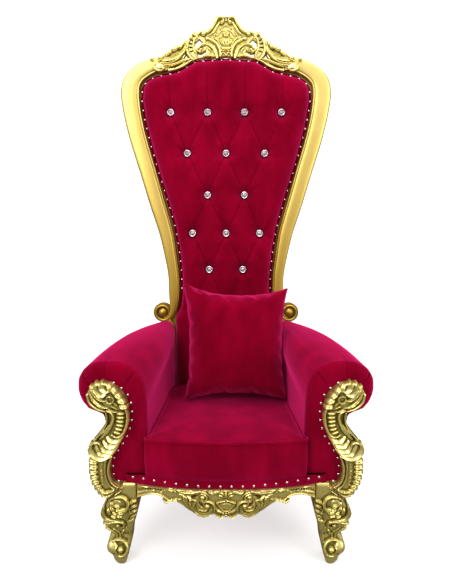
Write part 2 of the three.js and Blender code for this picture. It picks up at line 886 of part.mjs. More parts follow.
function makeRearLeg() {
  const count = 7;
  const middle = (STILE_INNER + STILE_OUTER) / 2;
  const rings = Array.from({ length: count + 1 }, (_, i) => {
    const drop = i / count;
    const centre = (stileFront + stileBack) / 2 - REAR_FOOT_RAKE * drop ** 1.7;
    const wide = 26 * (1 - 0.3 * drop);
    const deep = 21 * (1 - 0.25 * drop);
    const corners = [
      [-wide, -deep],
      [wide, -deep],
      [wide, deep],
      [-wide, deep],
    ];
    return corners.map(([x, z]) => {
      const seat = STILE_FOOT - GAP + (centre + z - stileFront) * Math.tan(radians(RECLINE));
      return vec3(middle + x, i === 0 ? seat : (STILE_FOOT - 8) * (1 - drop), centre + z);
    });
  });
  return loft(rings);
}

// The throne, put together

function piece(name, geometry, finish) {
  const material = new THREE.MeshStandardMaterial({ ...finishes[finish], name: finish });
  const mesh = new THREE.Mesh(geometry, material);
  mesh.name = name;
  return mesh;
}

function pair(name, geometry, finish) {
  const right = piece(`${name}_right`, geometry, finish);
  const left = piece(`${name}_left`, geometry, finish);
  left.scale.x = -1;
  return [left, right];
}

const back = new THREE.Group();
back.position.set(0, BACK_DEPTH, BACK_LEVEL);
back.rotation.x = radians(90 - RECLINE);
back.add(piece("back_frame", makeBackFrame(), "gilding"));
back.add(piece("crest", makeCrest(), "gilding"));
back.add(piece("back_pad", makeBackPad(), "velvet"));
back.add(piece("back_panel", makeBackPanel(), "velvet"));
buttonPlaces.forEach(([x, height], i) => {
  const button = piece(`back_button_${String(i + 1).padStart(2, "0")}`, makeButton(), "crystal");
  button.position.set(x, upSlope(height), BUTTON_LEVEL);
  back.add(button);
});

const front = new THREE.Group();
front.rotation.x = Math.PI / 2;
front.add(...pair("arm_pad", makeArmPad(), "velvet"));
front.add(...pair("arm_carving", makeArmCarving(), "gilding"));
front.add(...pair("front_leg", makeFrontLeg(), "gilding"));
front.add(...pair("rear_leg", makeRearLeg(), "gilding"));
front.add(...pair("side_rail", makeSideRail(), "gilding"));
front.add(piece("rear_rail", makeRearRail(), "gilding"));
front.add(piece("apron", makeApron(), "gilding"));
front.add(piece("seat_base", makeSeatBase(), "velvet"));
front.add(piece("seat_cushion", makeSeatCushion(), "velvet"));

const pillow = piece("pillow", makePillow(), "velvet");
pillow.rotation.x = radians(90 - PILLOW_LEAN);
const pillowRise = PILLOW_HEIGHT / 2;
pillow.position.set(
  PILLOW_PLACE,
  pillowRise * Math.sin(radians(PILLOW_LEAN)),
  SEAT_TOP + 8 + pillowRise * Math.cos(radians(PILLOW_LEAN)),
);

const throne = new THREE.Group();
throne.add(back, front, pillow);
throne.updateMatrixWorld(true);
const bounds = new THREE.Box3().setFromObject(throne, true);
throne.position.y = -(bounds.min.y + bounds.max.y) / 2;

export default throne;
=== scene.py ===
import math

import bmesh
import bpy
import numpy as np
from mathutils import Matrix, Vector


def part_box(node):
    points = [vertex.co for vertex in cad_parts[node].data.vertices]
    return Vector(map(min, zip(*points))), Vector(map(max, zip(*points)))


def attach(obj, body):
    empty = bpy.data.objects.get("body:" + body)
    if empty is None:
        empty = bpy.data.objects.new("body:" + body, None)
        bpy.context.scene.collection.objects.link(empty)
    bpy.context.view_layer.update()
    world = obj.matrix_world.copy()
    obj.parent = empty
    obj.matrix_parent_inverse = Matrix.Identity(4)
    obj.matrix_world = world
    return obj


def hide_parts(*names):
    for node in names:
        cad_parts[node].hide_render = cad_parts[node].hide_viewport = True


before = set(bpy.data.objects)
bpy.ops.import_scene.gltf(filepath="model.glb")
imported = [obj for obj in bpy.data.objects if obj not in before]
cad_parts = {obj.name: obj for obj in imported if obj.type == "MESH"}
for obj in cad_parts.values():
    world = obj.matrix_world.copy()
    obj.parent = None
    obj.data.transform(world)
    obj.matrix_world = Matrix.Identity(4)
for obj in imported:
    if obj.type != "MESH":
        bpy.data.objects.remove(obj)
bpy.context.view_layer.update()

# Lengths are in millimetres until a piece is placed. X runs across the seat, heights are above the floor
# and the front faces -Y. Shapes of paired pieces are drawn for the side where X is positive.

# Camera
# One camera stands in front of the throne at head height and looks slightly down.
scene = bpy.context.scene
camera = bpy.data.objects.new("camera", bpy.data.cameras.new("camera"))
scene.collection.objects.link(camera)
scene.camera = camera
camera.location = (0, -2.00998, 1.31)
camera.rotation_euler = (math.radians(76.8), 0, 0)
camera.data.sensor_width = 36
camera.data.lens = 35.507
camera.data.dof.use_dof = False
scene.view_settings.view_transform = "Standard"


# Studio: a pale floor that curves up into a backdrop, and large soft lights
# The floor and backdrop are one sheet, nearly white to the camera and greyer in reflections.
def add_node(tree, kind, inputs=(), **settings):
    """A new shader node; its inputs are given as values or as sockets to link."""
    made = tree.nodes.new(kind)
    for key, value in settings.items():
        setattr(made, key, value)
    for key, value in dict(inputs).items():
        if isinstance(value, bpy.types.NodeSocket):
            tree.links.new(value, made.inputs[key])
        else:
            made.inputs[key].default_value = value
    return made


def blend(tree, share, first, second):
    """The mix of two colours, each given as a value or as a socket."""
    return add_node(tree, "ShaderNodeMix", {0: share, 6: first, 7: second}, data_type="RGBA").outputs[2]


def backdrop_material():
    """Grey paper with a glow that keeps it near white, and one dark tone where the gilding mirrors it."""
    material = bpy.data.materials.new("backdrop")
    material.use_nodes = True
    tree = material.node_tree
    tree.nodes.clear()
    path = add_node(tree, "ShaderNodeLightPath")
    paper = add_node(tree, "ShaderNodeBsdfDiffuse", {"Color": (0.5, 0.5, 0.5, 1)})
    glow = add_node(tree, "ShaderNodeEmission", {"Color": (1, 1, 1, 1), "Strength": 0.55})
    shown = add_node(tree, "ShaderNodeAddShader", {0: paper.outputs[0], 1: glow.outputs[0]})
    reflected = add_node(tree, "ShaderNodeBsdfDiffuse", {"Color": (0.11, 0.10, 0.07, 1)})
    inputs = {0: path.outputs["Is Glossy Ray"], 1: shown.outputs[0], 2: reflected.outputs[0]}
    mixed = add_node(tree, "ShaderNodeMixShader", inputs)
    add_node(tree, "ShaderNodeOutputMaterial", {"Surface": mixed.outputs[0]})
    return material


def make_backdrop():
    """A sheet whose floor runs back and curves up behind the throne. Its sizes are in metres."""
    bend_start, bend_radius, half_width, wall_top = 2.2, 1.6, 16, 6
    bend = []
    for angle in np.linspace(0, math.pi / 2, 24):
        up = bend_radius - bend_radius * math.cos(angle)
        bend.append((bend_start + bend_radius * math.sin(angle), up))
    section = [(-6, 0), *bend, (bend_start + bend_radius, wall_top)]
    points = [(x, y, z - 0.0005) for y, z in section for x in (-half_width, half_width)]
    faces = [(2 * i, 2 * i + 1, 2 * i + 3, 2 * i + 2) for i in range(len(section) - 1)]
    mesh = bpy.data.meshes.new("backdrop")
    mesh.from_pydata(points, [], faces)
    mesh.shade_smooth()
    mesh.materials.append(backdrop_material())
    backdrop = bpy.data.objects.new("backdrop", mesh)
    scene.collection.objects.link(backdrop)


def add_light(name, place, aim, size, power):
    """A rectangular soft light that faces the aim point."""
    data = bpy.data.lights.new(name, "AREA")
    data.shape = "RECTANGLE"
    data.size, data.size_y = size
    data.energy = power
    light = bpy.data.objects.new(name, data)
    light.location = place
    light.rotation_euler = (Vector(aim) - Vector(place)).to_track_quat("-Z", "Y").to_euler()
    scene.collection.objects.link(light)


def make_world():
    """White to the camera; in reflections pale overhead and darker towards the horizon."""
    world = bpy.data.worlds.new("studio")
    scene.world = world
    world.use_nodes = True
    tree = world.node_tree
    tree.nodes.clear()
    path = add_node(tree, "ShaderNodeLightPath")
    place = add_node(tree, "ShaderNodeTexCoord")
    axes = add_node(tree, "ShaderNodeSeparateXYZ", {0: place.outputs["Generated"]})
    ramp = add_node(tree, "ShaderNodeValToRGB", {0: axes.outputs["Z"]})
    horizon, overhead = ramp.color_ramp.elements
    horizon.position = 0.0
    horizon.color = (0.34, 0.32, 0.27, 1)
    overhead.position = 0.75
    overhead.color = (1, 1, 1, 1)
    shown = blend(tree, path.outputs["Is Camera Ray"], ramp.outputs[0], (1, 1, 1, 1))
    background = add_node(tree, "ShaderNodeBackground", {"Color": shown})
    add_node(tree, "ShaderNodeOutputWorld", {"Surface": background.outputs[0]})


make_backdrop()
make_world()
add_light("key", (-1.7, -2.6, 3.0), (0, 0, 0.9), (1.6, 1.6), 70)
add_light("fill", (2.2, -2.2, 2.2), (0, 0, 0.8), (1.2, 2.0), 38)
add_light("top", (0, -0.3, 3.4), (0, 0.1, 0.5), (2.4, 1.6), 45)
add_light("sweep", (0, 1.6, 3.2), (0, 3.2, 0.9), (3.5, 0.8), 60)


# Back frame
# Two carved hardwood sides sweep from a scroll above each arm round to the crest, over a rear board and
# a pair of posts that stand on the rear legs. The face is a polished, gilded moulding.
# At seat height the back's face stands BACK_FACE behind the middle of the plan and the arms' fronts stand
# ARM_FRONT ahead of it. SHIFT is where that middle lies in the frame.
LEAN = math.radians(10)
SEAT_HEIGHT = 450
BACK_FACE = 170
ARM_FRONT = 312
SHIFT = 1000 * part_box("arm_pad_left")[0].y + ARM_FRONT


def on_back(x, height, level):
    """Place of a point of the leaning back: across, height on its face, and distance in front of it."""
    y = BACK_FACE + (height - SEAT_HEIGHT) * math.tan(LEAN) - level * math.cos(LEAN) + SHIFT
    return np.stack(np.broadcast_arrays(x, y, height + level * math.sin(LEAN)), axis=-1) / 1000


def upright(x, height, forward):
    """Place of a point of the seat or arms: across, height, and distance in front of the middle."""
    return np.stack(np.broadcast_arrays(x, SHIFT - forward, height), axis=-1) / 1000


def spline(points, step):
    """Evenly spaced points at about this step on a smooth curve through the given ones."""
    given = np.array(points, float)
    ends = np.vstack([2 * given[0] - given[1], given, 2 * given[-1] - given[-2]])
    t = np.linspace(0, 1, 12, endpoint=False)[:, None]
    fine = []
    for a, b, c, d in zip(ends, ends[1:], ends[2:], ends[3:]):
        curve = 2 * b + (c - a) * t + (2 * a - 5 * b + 4 * c - d) * t**2 + (3 * b - a - 3 * c + d) * t**3
        fine.append(curve / 2)
    fine = np.vstack([*fine, given[-1:]])
    gone = np.append(0, np.cumsum(np.linalg.norm(np.diff(fine[:, :2], axis=0), axis=1)))
    places = np.linspace(0, gone[-1], max(2, round(gone[-1] / step) + 1))
    return np.column_stack([np.interp(places, gone, column) for column in fine.T])


def asides(path):
    """The direction to the left of the path at each of its points."""
    along = np.gradient(path[:, :2], axis=0)
    along /= np.maximum(np.linalg.norm(along, axis=1, keepdims=True), 1e-9)
    return np.column_stack([-along[:, 1], along[:, 0]])


def closed(rings):
    """A closed form over a stack of rings with equal counts of points: its points and its faces."""
    points = np.asarray(rings)
    rows, count = points.shape[:2]
    at = np.arange(rows * count).reshape(rows, count)
    turned = np.roll(at, -1, axis=1)
    sides = np.stack([at[:-1], turned[:-1], turned[1:], at[1:]], axis=-1).reshape(-1, 4)
    return points, [*sides.tolist(), at[0, ::-1].tolist(), at[-1].tolist()]


def moulding(path, section, lower=0):
    """A moulding on the back along x, y, width and rise. Its section has shares of the half width and
    levels; the levels of its face follow the rise, and those of its sides stay where they are."""
    sides_below = -9
    share, level = np.array(section).T
    reach = path[:, 2:3] / 2 * share
    x, y = (path[:, axis : axis + 1] + asides(path)[:, axis : axis + 1] * reach for axis in (0, 1))
    rise = np.where(level > sides_below, level * path[:, 3:4], level)
    return closed(on_back(x, y, rise - lower))


def new_piece(name, forms, material, sharp=38):
    """A piece joined from closed forms, each its points in metres and its faces; materials may differ."""
    materials = material if isinstance(material, list) else [material]
    points, faces, slots = [], [], []
    for number, (form_points, form_faces) in enumerate(forms):
        faces += [[i + len(points) for i in face] for face in form_faces]
        points += np.asarray(form_points).reshape(-1, 3).tolist()
        slots += [min(number, len(materials) - 1)] * len(form_faces)
    mesh = bpy.data.meshes.new(name)
    mesh.from_pydata(points, [], faces)
    for each in materials:
        mesh.materials.append(each)
    mesh.polygons.foreach_set("material_index", slots)
    work = bmesh.new()
    work.from_mesh(mesh)
    bmesh.ops.recalc_face_normals(work, faces=work.faces)
    work.to_mesh(mesh)
    work.free()
    mesh.shade_smooth()
    mesh.set_sharp_from_angle(angle=math.radians(sharp))
    made = bpy.data.objects.new(name, mesh)
    scene.collection.objects.link(made)
    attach(made, "root")
    return made


def across(points):
    """The same points on the left side, in the opposite order."""
    return [(-x, *rest) for x, *rest in reversed(points)]


def both_halves(half):
    """The whole of an outline from its right half, whose points in the middle aren't doubled."""
    return [*half, *(point for point in across(half) if point[0] != 0)]


def mirrored(form):
    """The same form turned over to the left side."""
    points, faces = form
    return np.asarray(points).reshape(-1, 3) * (-1, 1, 1), [face[::-1] for face in faces]


def board(outline, low, high, place):
    """A flat board with this outline between two levels."""
    x, y = np.array(outline, float).T
    return closed([place(x, y, low), place(x, y, high)])


TURNED_SIDES = 36


def lathe(profile, x, y, place, count=TURNED_SIDES):
    """A turned form about an axis that points out of the face: radius and level of each ring."""
    angle = np.linspace(0, 2 * math.pi, count, endpoint=False)
    return closed([place(x + r * np.cos(angle), y + r * np.sin(angle), level) for r, level in profile])


def spiral(x, y, start, end, angle, turn):
    """Points of a spiral from its outer radius in to its eye; angles are in degrees."""
    count = max(6, int(abs(turn) / 20))
    radii = np.linspace(start, end, count)
    angles = np.radians(np.linspace(angle, angle + turn, count))
    return np.column_stack([x + radii * np.cos(angles), y + radii * np.sin(angles)])


def new_group(name, inputs, outputs):
    """A shader node group with these named sockets and their kinds, and its inner ends."""
    group = bpy.data.node_groups.new(name, "ShaderNodeTree")
    for direction, sockets in (("INPUT", inputs), ("OUTPUT", outputs)):
        for socket, kind in sockets.items():
            group.interface.new_socket(socket, in_out=direction, socket_type=f"NodeSocket{kind}")
    return group, add_node(group, "NodeGroupInput").outputs, add_node(group, "NodeGroupOutput").inputs


def gilt_group():
    """Colour, roughness and tool marks of gilding: painted olive shade in the hollows and on sides in
    shadow, and painted shade that darkens it low down.
    """
    inputs = {"Painted Shade": "Float", "Polish": "Float", "Unshaded Above": "Float", "Shaded Below": "Float"}
    inputs["Low Shade Colour"] = "Color"
    outputs = {"Colour": "Color", "Roughness": "Float", "Normal": "Vector"}
    group, given, result = new_group("gilt", inputs, outputs)
    place = add_node(group, "ShaderNodeTexCoord").outputs["Object"]
    leaf = add_node(group, "ShaderNodeTexNoise", {"Vector": place, "Scale": 16, "Detail": 3}).outputs[0]
    fine = add_node(group, "ShaderNodeTexNoise", {"Vector": place, "Scale": 160, "Detail": 2}).outputs[0]
    bright = blend(group, leaf, (0.82, 0.68, 0.21, 1), (0.92, 0.80, 0.32, 1))
    # Painted shade: the gilding turns gradually darker towards the bottom, from the unshaded height down to
    # the shaded one
    axes = add_node(group, "ShaderNodeSeparateXYZ", {0: place})
    heights = {"Value": axes.outputs["Z"], "From Min": given["Unshaded Above"], "From Max": given["Shaded Below"]}
    lowness = add_node(group, "ShaderNodeMapRange", heights).outputs[0]
    shaded_low = blend(group, lowness, bright, given["Low Shade Colour"])
    # Painted shade: the gilding turns dark olive where the painted_shade attribute is high, in hollows and
    # on sides that stand in shadow
    group.links.new(blend(group, given["Painted Shade"], shaded_low, (0.14, 0.11, 0.016, 1)), result["Colour"])
    mottled = add_node(group, "ShaderNodeMapRange", {"Value": leaf, "To Min": -0.05, "To Max": 0.05})
    sums = {0: mottled.outputs[0], 1: given["Polish"]}
    polish = add_node(group, "ShaderNodeMath", sums, operation="ADD")
    dull = add_node(group, "ShaderNodeMath", {0: given["Painted Shade"], 1: 0.3}, operation="MULTIPLY")
    sums = {0: polish.outputs[0], 1: dull.outputs[0]}
    group.links.new(add_node(group, "ShaderNodeMath", sums, operation="ADD").outputs[0], result["Roughness"])
    marks = add_node(group, "ShaderNodeBump", {"Height": fine, "Strength": 0.3, "Distance": 0.0006})
    group.links.new(marks.outputs[0], result["Normal"])
    return group


gilt = gilt_group()


def new_material(name, constants):
    """A material with its node tree and its shader, on which these constant values are set."""
    material = bpy.data.materials.new(name)
    material.use_nodes = True
    shader = material.node_tree.nodes["Principled BSDF"]
    for key, value in constants.items():
        shader.inputs[key].default_value = value
    return material, material.node_tree, shader


def dress(tree, shader, look):
    """Links what a node group gives to the shader's sockets of the same name."""
    for output in look.outputs:
        socket = "Base Color" if output.name == "Colour" else output.name
        tree.links.new(output, shader.inputs[socket])


def gilding_material(name, polish, metallic, heights, low_shade_colour):
    """Gilding over carved wood. The mesh's painted_shade attribute says where it lies deep or in shadow, and
    there the material paints shade on the gilding; it also paints shade that darkens it towards the bottom.
    """
    material, tree, shader = new_material(name, {"Metallic": metallic})
    painted_shade = add_node(tree, "ShaderNodeAttribute", attribute_name="painted_shade")
    inputs = {"Painted Shade": painted_shade.outputs["Fac"], "Polish": polish, "Low Shade Colour": (*low_shade_colour, 1)}
    inputs["Unshaded Above"], inputs["Shaded Below"] = heights
    dress(tree, shader, add_node(tree, "ShaderNodeGroup", inputs, node_tree=gilt))
    return material


# Colours of the painted shade low down: amber on the frame, olive on the carvings and rails
AMBER = (0.47, 0.29, 0.04)
OLIVE = (0.69, 0.58, 0.19)
smooth_gilding = gilding_material("smooth_gilding", 0.42, 0.86, (2.4, 0.75), AMBER)
carved_gilding = gilding_material("carved_gilding", 0.28, 0.82, (0.42, 0.22), OLIVE)

# The band's middle line, width and share of its full height, and its section: shares of the half width
# from its outer side to its inner one, and levels
BAND = [
    (228, 1661, 50, 0.8), (277, 1655, 56, 1), (316, 1639, 61, 1), (346, 1617, 66, 1), (365, 1590, 71, 1),
    (371, 1553, 73, 1), (368, 1510, 71, 1), (356, 1440, 68, 1), (336, 1361, 66, 1), (306, 1262, 64, 1),
    (268, 1132, 61, 1), (235, 1024, 56, 1), (217, 931, 48, 0.9), (206, 858, 44, 0.9), (204, 790, 43, 0.8),
    (206, 748, 34, 0.6), (213, 712, 20, 0.4), (226, 688, 13, 0.3),
]
BAND_SECTION = [
    (1, -42), (1, -11), (0.985, -6), (0.955, -2.4), (0.91, 0), (0.84, 1.4), (0.6, 2.4), (0.2, 2.8),
    (-0.2, 2.2), (-0.5, 1.2), (-0.64, -0.2), (-0.7, -2.2), (-0.75, 0.2), (-0.82, 1.8), (-0.89, 1.8),
    (-0.94, 0.2), (-0.965, -3), (-0.97, -7), (-1, -9), (-1, -42),
]
SCROLL = (250, 712)


def store_painted_shade(piece, painted_shade):
    """Stores the painted shade of each point, mostly from how deep it lies, which the piece's material
    reads.
    """
    attribute = piece.data.attributes.new("painted_shade", "FLOAT", "POINT")
    attribute.data.foreach_set("value", painted_shade.astype(np.float32))


def make_back_frame():
    rear_outer = [
        (262, 300), (262, 664), (212, 700), (207, 860), (218, 931), (236, 1024), (269, 1132), (306, 1262),
        (336, 1361), (355, 1440), (368, 1513), (370, 1556), (345, 1614), (277, 1655), (235, 1668),
        (180, 1670), (75, 1676),
    ]
    rear_inner = [
        (110, 1636), (150, 1620), (240, 1595), (296, 1562), (308, 1520), (294, 1434), (243, 1255),
        (180, 1040), (160, 872), (158, 786), (160, 300),
    ]
    rear = board([*rear_outer, *across(rear_outer), *across(rear_inner), *rear_inner], -42, -22, on_back)
    post = board([(206, 300), (262, 300), (262, 668), (222, 690), (206, 664)], -23, 0, on_back)
    band = moulding(spline(BAND, 9), BAND_SECTION)
    half_bead = [(1, -14), (1, 0), (0.8, 4.5), (0.4, 7.4)]
    bead = [*half_bead, (0, 8.4), *across(half_bead)]
    line = spiral(*SCROLL, 31, 22, 215, 400)
    widths = np.interp(np.linspace(0, 1, len(line)), [0, 0.5, 1], [13, 10, 5])
    curl = moulding(spline(np.column_stack([line, widths, widths / 13]), 4), bead, lower=5)
    disc = [(37, -42), (37, -9), (35, -6), (24, -9), (18, -9)]
    disc += [(16.5, -2), (13, 4), (8, 7), (3.5, 8), (0.5, 8.4)]
    boss = lathe(disc, *SCROLL, on_back)
    # How dark each point is painted as shade: the band's sides and grooves, the ring between curl and boss,
    # and the rear board
    face_level = -2
    band_shade = [(0.9 if share > 0 else 0.5) * (level < face_level) for share, level in BAND_SECTION]
    boss_shade = np.repeat([0.9, 0.9, 0.3, 1, 1, 0.6, 0, 0, 0, 0], TURNED_SIDES)
    forms, painted_shades = [rear], [np.full(rear[0].size // 3, 0.4)]
    shades = (post, 0), (band, np.tile(band_shade, len(band[0]))), (curl, 0), (boss, boss_shade)
    for form, shade in shades:
        forms += [form, mirrored(form)]
        painted_shades += [np.broadcast_to(shade, form[0].size // 3)] * 2
    made = new_piece("back_frame_gilded", forms, smooth_gilding)
    store_painted_shade(made, np.concatenate(painted_shades))
    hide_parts("back_frame")


make_back_frame()


# Crest
# The crest is one pierced board that stands on the top rail between the two sides. A cartouche with a
# flower sits in the middle, and scrolls and leaves run down from it over the rail on both sides.
def fenced(x, y, loops):
    """How far each place lies inside the loops, less than zero outside them; later loops are holes."""
    inside = np.zeros(x.shape, bool)
    nearest = np.full(x.shape, 1e9)
    for loop in loops:
        ring = np.array(loop, float)
        for (x0, y0), (x1, y1) in zip(ring, np.roll(ring, -1, axis=0)):
            if y0 != y1:
                passes = ((y0 > y) != (y1 > y)) & (x < (x1 - x0) * (y - y0) / (y1 - y0) + x0)
                inside ^= passes
            run = (x1 - x0) ** 2 + (y1 - y0) ** 2 + 1e-12
            t = np.clip(((x - x0) * (x1 - x0) + (y - y0) * (y1 - y0)) / run, 0, 1)
            nearest = np.minimum(nearest, np.hypot(x - x0 - t * (x1 - x0), y - y0 - t * (y1 - y0)))
    return np.where(inside, nearest, -nearest)


def around(x, y, radius, angle):
    """The point at this distance and angle, in degrees, from a centre."""
    turn = math.radians(angle)
    return x + radius * math.cos(turn), y + radius * math.sin(turn)


def blurred(level, radius):
    """The level averaged over a square about each place."""
    for axis in (0, 1):
        width = 2 * radius + 1
        ends = [(radius + 1, radius) if a == axis else (0, 0) for a in (0, 1)]
        total = np.cumsum(np.pad(level, ends, mode="edge"), axis=axis)
        low, high = [slice(None)] * 2, [slice(None)] * 2
        low[axis], high[axis] = slice(0, -width), slice(width, None)
        level = (total[tuple(high)] - total[tuple(low)]) / width
    return level


NOWHERE = -99


class Relief:
    """A board carved in relief: its face is drawn as levels over a fine square grid. Strokes and lobes
    are drawn on each of its sides, 1 for the right and -1 for the left, and may grow past its outline."""

    def __init__(self, loops, pitch, margin=12, sides=(1,)):
        corners = np.array(loops[0], float)
        low, high = corners.min(0) - margin, corners.max(0) + margin
        self.pitch = pitch
        self.sides = sides
        across_count, up_count = np.ceil((high - low) / pitch).astype(int) + 1
        x, y = low[0] + pitch * np.arange(across_count), low[1] + pitch * np.arange(up_count)
        self.x, self.y = np.meshgrid(x, y)
        self.depth_in = fenced(self.x, self.y, loops)
        self.board = self.depth_in.copy()
        self.level = np.zeros(self.x.shape)

    def window(self, low, high):
        """Slices of the grid that hold a box."""
        first = np.floor((low - (self.x[0, 0], self.y[0, 0])) / self.pitch).astype(int)
        last = np.ceil((high - (self.x[0, 0], self.y[0, 0])) / self.pitch).astype(int) + 1
        first, last = np.maximum(first, 0), np.maximum(last, 0)
        return slice(first[1], last[1]), slice(first[0], last[0])

    def lay(self, box, form, depth_in, grow):
        """Lays a form over the board where it stands above what is there."""
        self.level[box] = np.maximum(self.level[box], form)
        if grow:
            self.depth_in[box] = np.maximum(self.depth_in[box], depth_in)

    def stroke(self, points, widths, rise, form="round", base=0, grow=True):
        """A moulding, leaf rib or groove along a smooth line, with a width that swells and tapers."""
        for side in self.sides:
            drawn = np.array(points, float) * (side, 1)
            line = spline(drawn, 2.5) if len(drawn) > 2 else drawn
            half = np.interp(np.linspace(0, 1, len(line)), np.linspace(0, 1, len(widths)), widths) / 2
            box = self.window(line.min(0) - half.max() - 2, line.max(0) + half.max() + 2)
            x, y = self.x[box], self.y[box]
            nearest = np.full(x.shape, 1e9)
            half_here = np.ones(x.shape)
            left = np.zeros(x.shape)
            for (x0, y0), (x1, y1), h0, h1 in zip(line, line[1:], half, half[1:]):
                dx, dy = x1 - x0, y1 - y0
                t = np.clip(((x - x0) * dx + (y - y0) * dy) / (dx * dx + dy * dy + 1e-12), 0, 1)
                gap = np.hypot(x - x0 - t * dx, y - y0 - t * dy)
                closer = gap < nearest
                nearest = np.where(closer, gap, nearest)
                half_here = np.where(closer, h0 + t * (h1 - h0), half_here)
                left = np.where(closer, np.sign(dx * (y - y0) - dy * (x - x0)), left)
            half_here = np.maximum(half_here, 0.4)
            share = np.clip(nearest / half_here, 0, 1)
            signed = share * left * side
            swell = rise * np.minimum(1, half_here / half.max() + 0.15)
            self.cut_or_lay(box, form, share, signed, swell, base, half_here - nearest, grow)

    def cut_or_lay(self, box, form, share, signed, swell, base, depth_in, grow):
        """The section of a stroke: how its level runs from its middle, share 0, to its edges, share 1."""
        on_it = depth_in > 0
        dome = np.sqrt(np.maximum(1 - share**2, 0))
        if form == "groove":
            self.level[box] -= np.where(on_it, swell * (1 - share**2), 0)
            return
        if form == "channel":
            # Two rims at three quarters of the way out, over a shallow trough
            rims = np.exp(-(((share - 0.76) / 0.2) ** 2))
            height = (base + swell * np.maximum(rims, 0.3 + 0.2 * share)) * np.clip((1 - share) * 7, 0, 1)
            self.level[box] = np.where(on_it, height, self.level[box])
            if grow:
                self.depth_in[box] = np.maximum(self.depth_in[box], depth_in)
            return
        if form == "leaf":
            # A dome with a fine vein along its middle
            height = swell * (dome - 0.42 * np.exp(-((share / 0.2) ** 2)))
        elif form == "blade":
            # It rises from one edge to a sharp crest near the other
            height = swell * (0.1 + 0.9 * ((1 + signed) / 2) ** 1.6) * np.clip((1 - signed) * 5, 0, 1) ** 0.6
            height *= np.clip((1 - share) * 6, 0, 1) ** 0.3
        else:
            height = swell * dome
        self.lay(box, np.where(on_it, base + height, NOWHERE), depth_in, grow)

    def lobe(self, x, y, length, width, angle, rise, vein=0.0, base=0, grow=True, point=0.0):
        """An oval leaf lobe or bead; with a point it narrows towards its far end."""
        reach = length / 2 + 2
        for side in self.sides:
            place = np.array((side * x, y))
            turn = math.radians(angle if side == 1 else 180 - angle)
            box = self.window(place - reach, place + reach)
            along, up = self.x[box] - place[0], self.y[box] - place[1]
            u = (along * math.cos(turn) + up * math.sin(turn)) / (length / 2)
            v = (up * math.cos(turn) - along * math.sin(turn)) / (width / 2)
            v = v / np.maximum(1 - point * u, 0.15)
            far = np.hypot(u, v)
            height = rise * np.sqrt(np.maximum(1 - far**2, 0)) * (1 - vein * np.exp(-((v / 0.25) ** 2)))
            self.lay(box, np.where(far < 1, base + height, NOWHERE), (1 - far) * width / 2, grow)

    def row(self, points, count, length, width, rise, turn, vein):
        """Equal lobes at even steps along a line, each turned from the line's direction."""
        line = spline(points, 1)
        direction = np.degrees(np.arctan2(*np.gradient(line, axis=0).T[::-1]))
        for i in range(count):
            at = min(int((i + 0.5) / count * len(line)), len(line) - 1)
            self.lobe(*line[at], length, width, direction[at] + turn, rise, vein=vein)

    def soften_edge(self, radius, drop):
        """Rounds the face over towards its edge."""
        near = np.clip(1 - self.depth_in / radius, 0, 1)
        self.level -= drop * (1 - np.sqrt(np.maximum(1 - near**2, 0)))

    def tool_marks(self, amount, seed):
        """Slight unevenness from hand carving."""
        rough = np.random.default_rng(seed).normal(size=self.level.shape)
        self.level += amount * blurred(blurred(rough, 2), 2)

    def drawn_in(self, depth_in):
        """Places of the grid, those beyond an edge moved on to it."""
        slope_y, slope_x = np.gradient(depth_in, self.pitch)
        size = np.maximum(slope_x**2 + slope_y**2, 0.3)
        out = np.minimum(depth_in, 0)
        return self.x - out * slope_x / size, self.y - out * slope_y / size

    def form(self, place, back, flat_rear=False, taper=0):
        """Points, faces and painted shade of the carved board: shade is painted where it lies below the
        blurred levels about it, and faintly on its rear. Back is the level of its rear side, and taper the
        share of what the carving adds to the outline that its sides lose towards the rear."""
        least_thickness, blur_reach, overhang, darkest_below, rear_painted_shade = 0.8, 5, 3, 2.7, 0.15
        inside = self.depth_in
        centre = (inside[:-1, :-1] + inside[1:, :-1] + inside[:-1, 1:] + inside[1:, 1:]) / 4 > 0
        x, y = self.drawn_in(inside)
        board_x, board_y = self.drawn_in(self.board)
        rear_x, rear_y = x + taper * (board_x - x), y + taper * (board_y - y)
        used = np.zeros(inside.shape, bool)
        for up in (slice(None, -1), slice(1, None)):
            for over in (slice(None, -1), slice(1, None)):
                used[up, over] |= centre
        index = np.full(inside.shape, -1)
        index[used] = np.arange(used.sum())
        count = int(used.sum())
        corner = index[:-1, :-1], index[:-1, 1:], index[1:, 1:], index[1:, :-1]
        front = np.stack([c[centre] for c in corner], axis=-1)
        padded = np.pad(centre, 1)
        walls = []
        shifts = [((0, 1), corner[0], corner[1]), ((1, 2), corner[1], corner[2])]
        shifts += [((2, 1), corner[2], corner[3]), ((1, 0), corner[3], corner[0])]
        for (up, over), a, b in shifts:
            beyond = padded[up : up + centre.shape[0], over : over + centre.shape[1]]
            edge = centre & ~beyond
            walls.append(np.stack([a[edge], a[edge] + count, b[edge] + count, b[edge]], axis=-1))
        walls = np.vstack(walls)
        if flat_rear:
            following = dict(walls[:, 1:3].tolist())
            rear_ring = [int(walls[0, 1])]
            while following[rear_ring[-1]] != rear_ring[0]:
                rear_ring.append(following[rear_ring[-1]])
            faces = [*front.tolist(), *walls.tolist(), rear_ring]
        else:
            faces = np.vstack([front, front[:, ::-1] + count, walls]).tolist()
        rear = np.broadcast_to(back, inside.shape)
        level = np.maximum(self.level, rear + least_thickness)
        rear_points = place(rear_x[used], rear_y[used], rear[used])
        points = np.vstack([place(x[used], y[used], level[used]), rear_points])
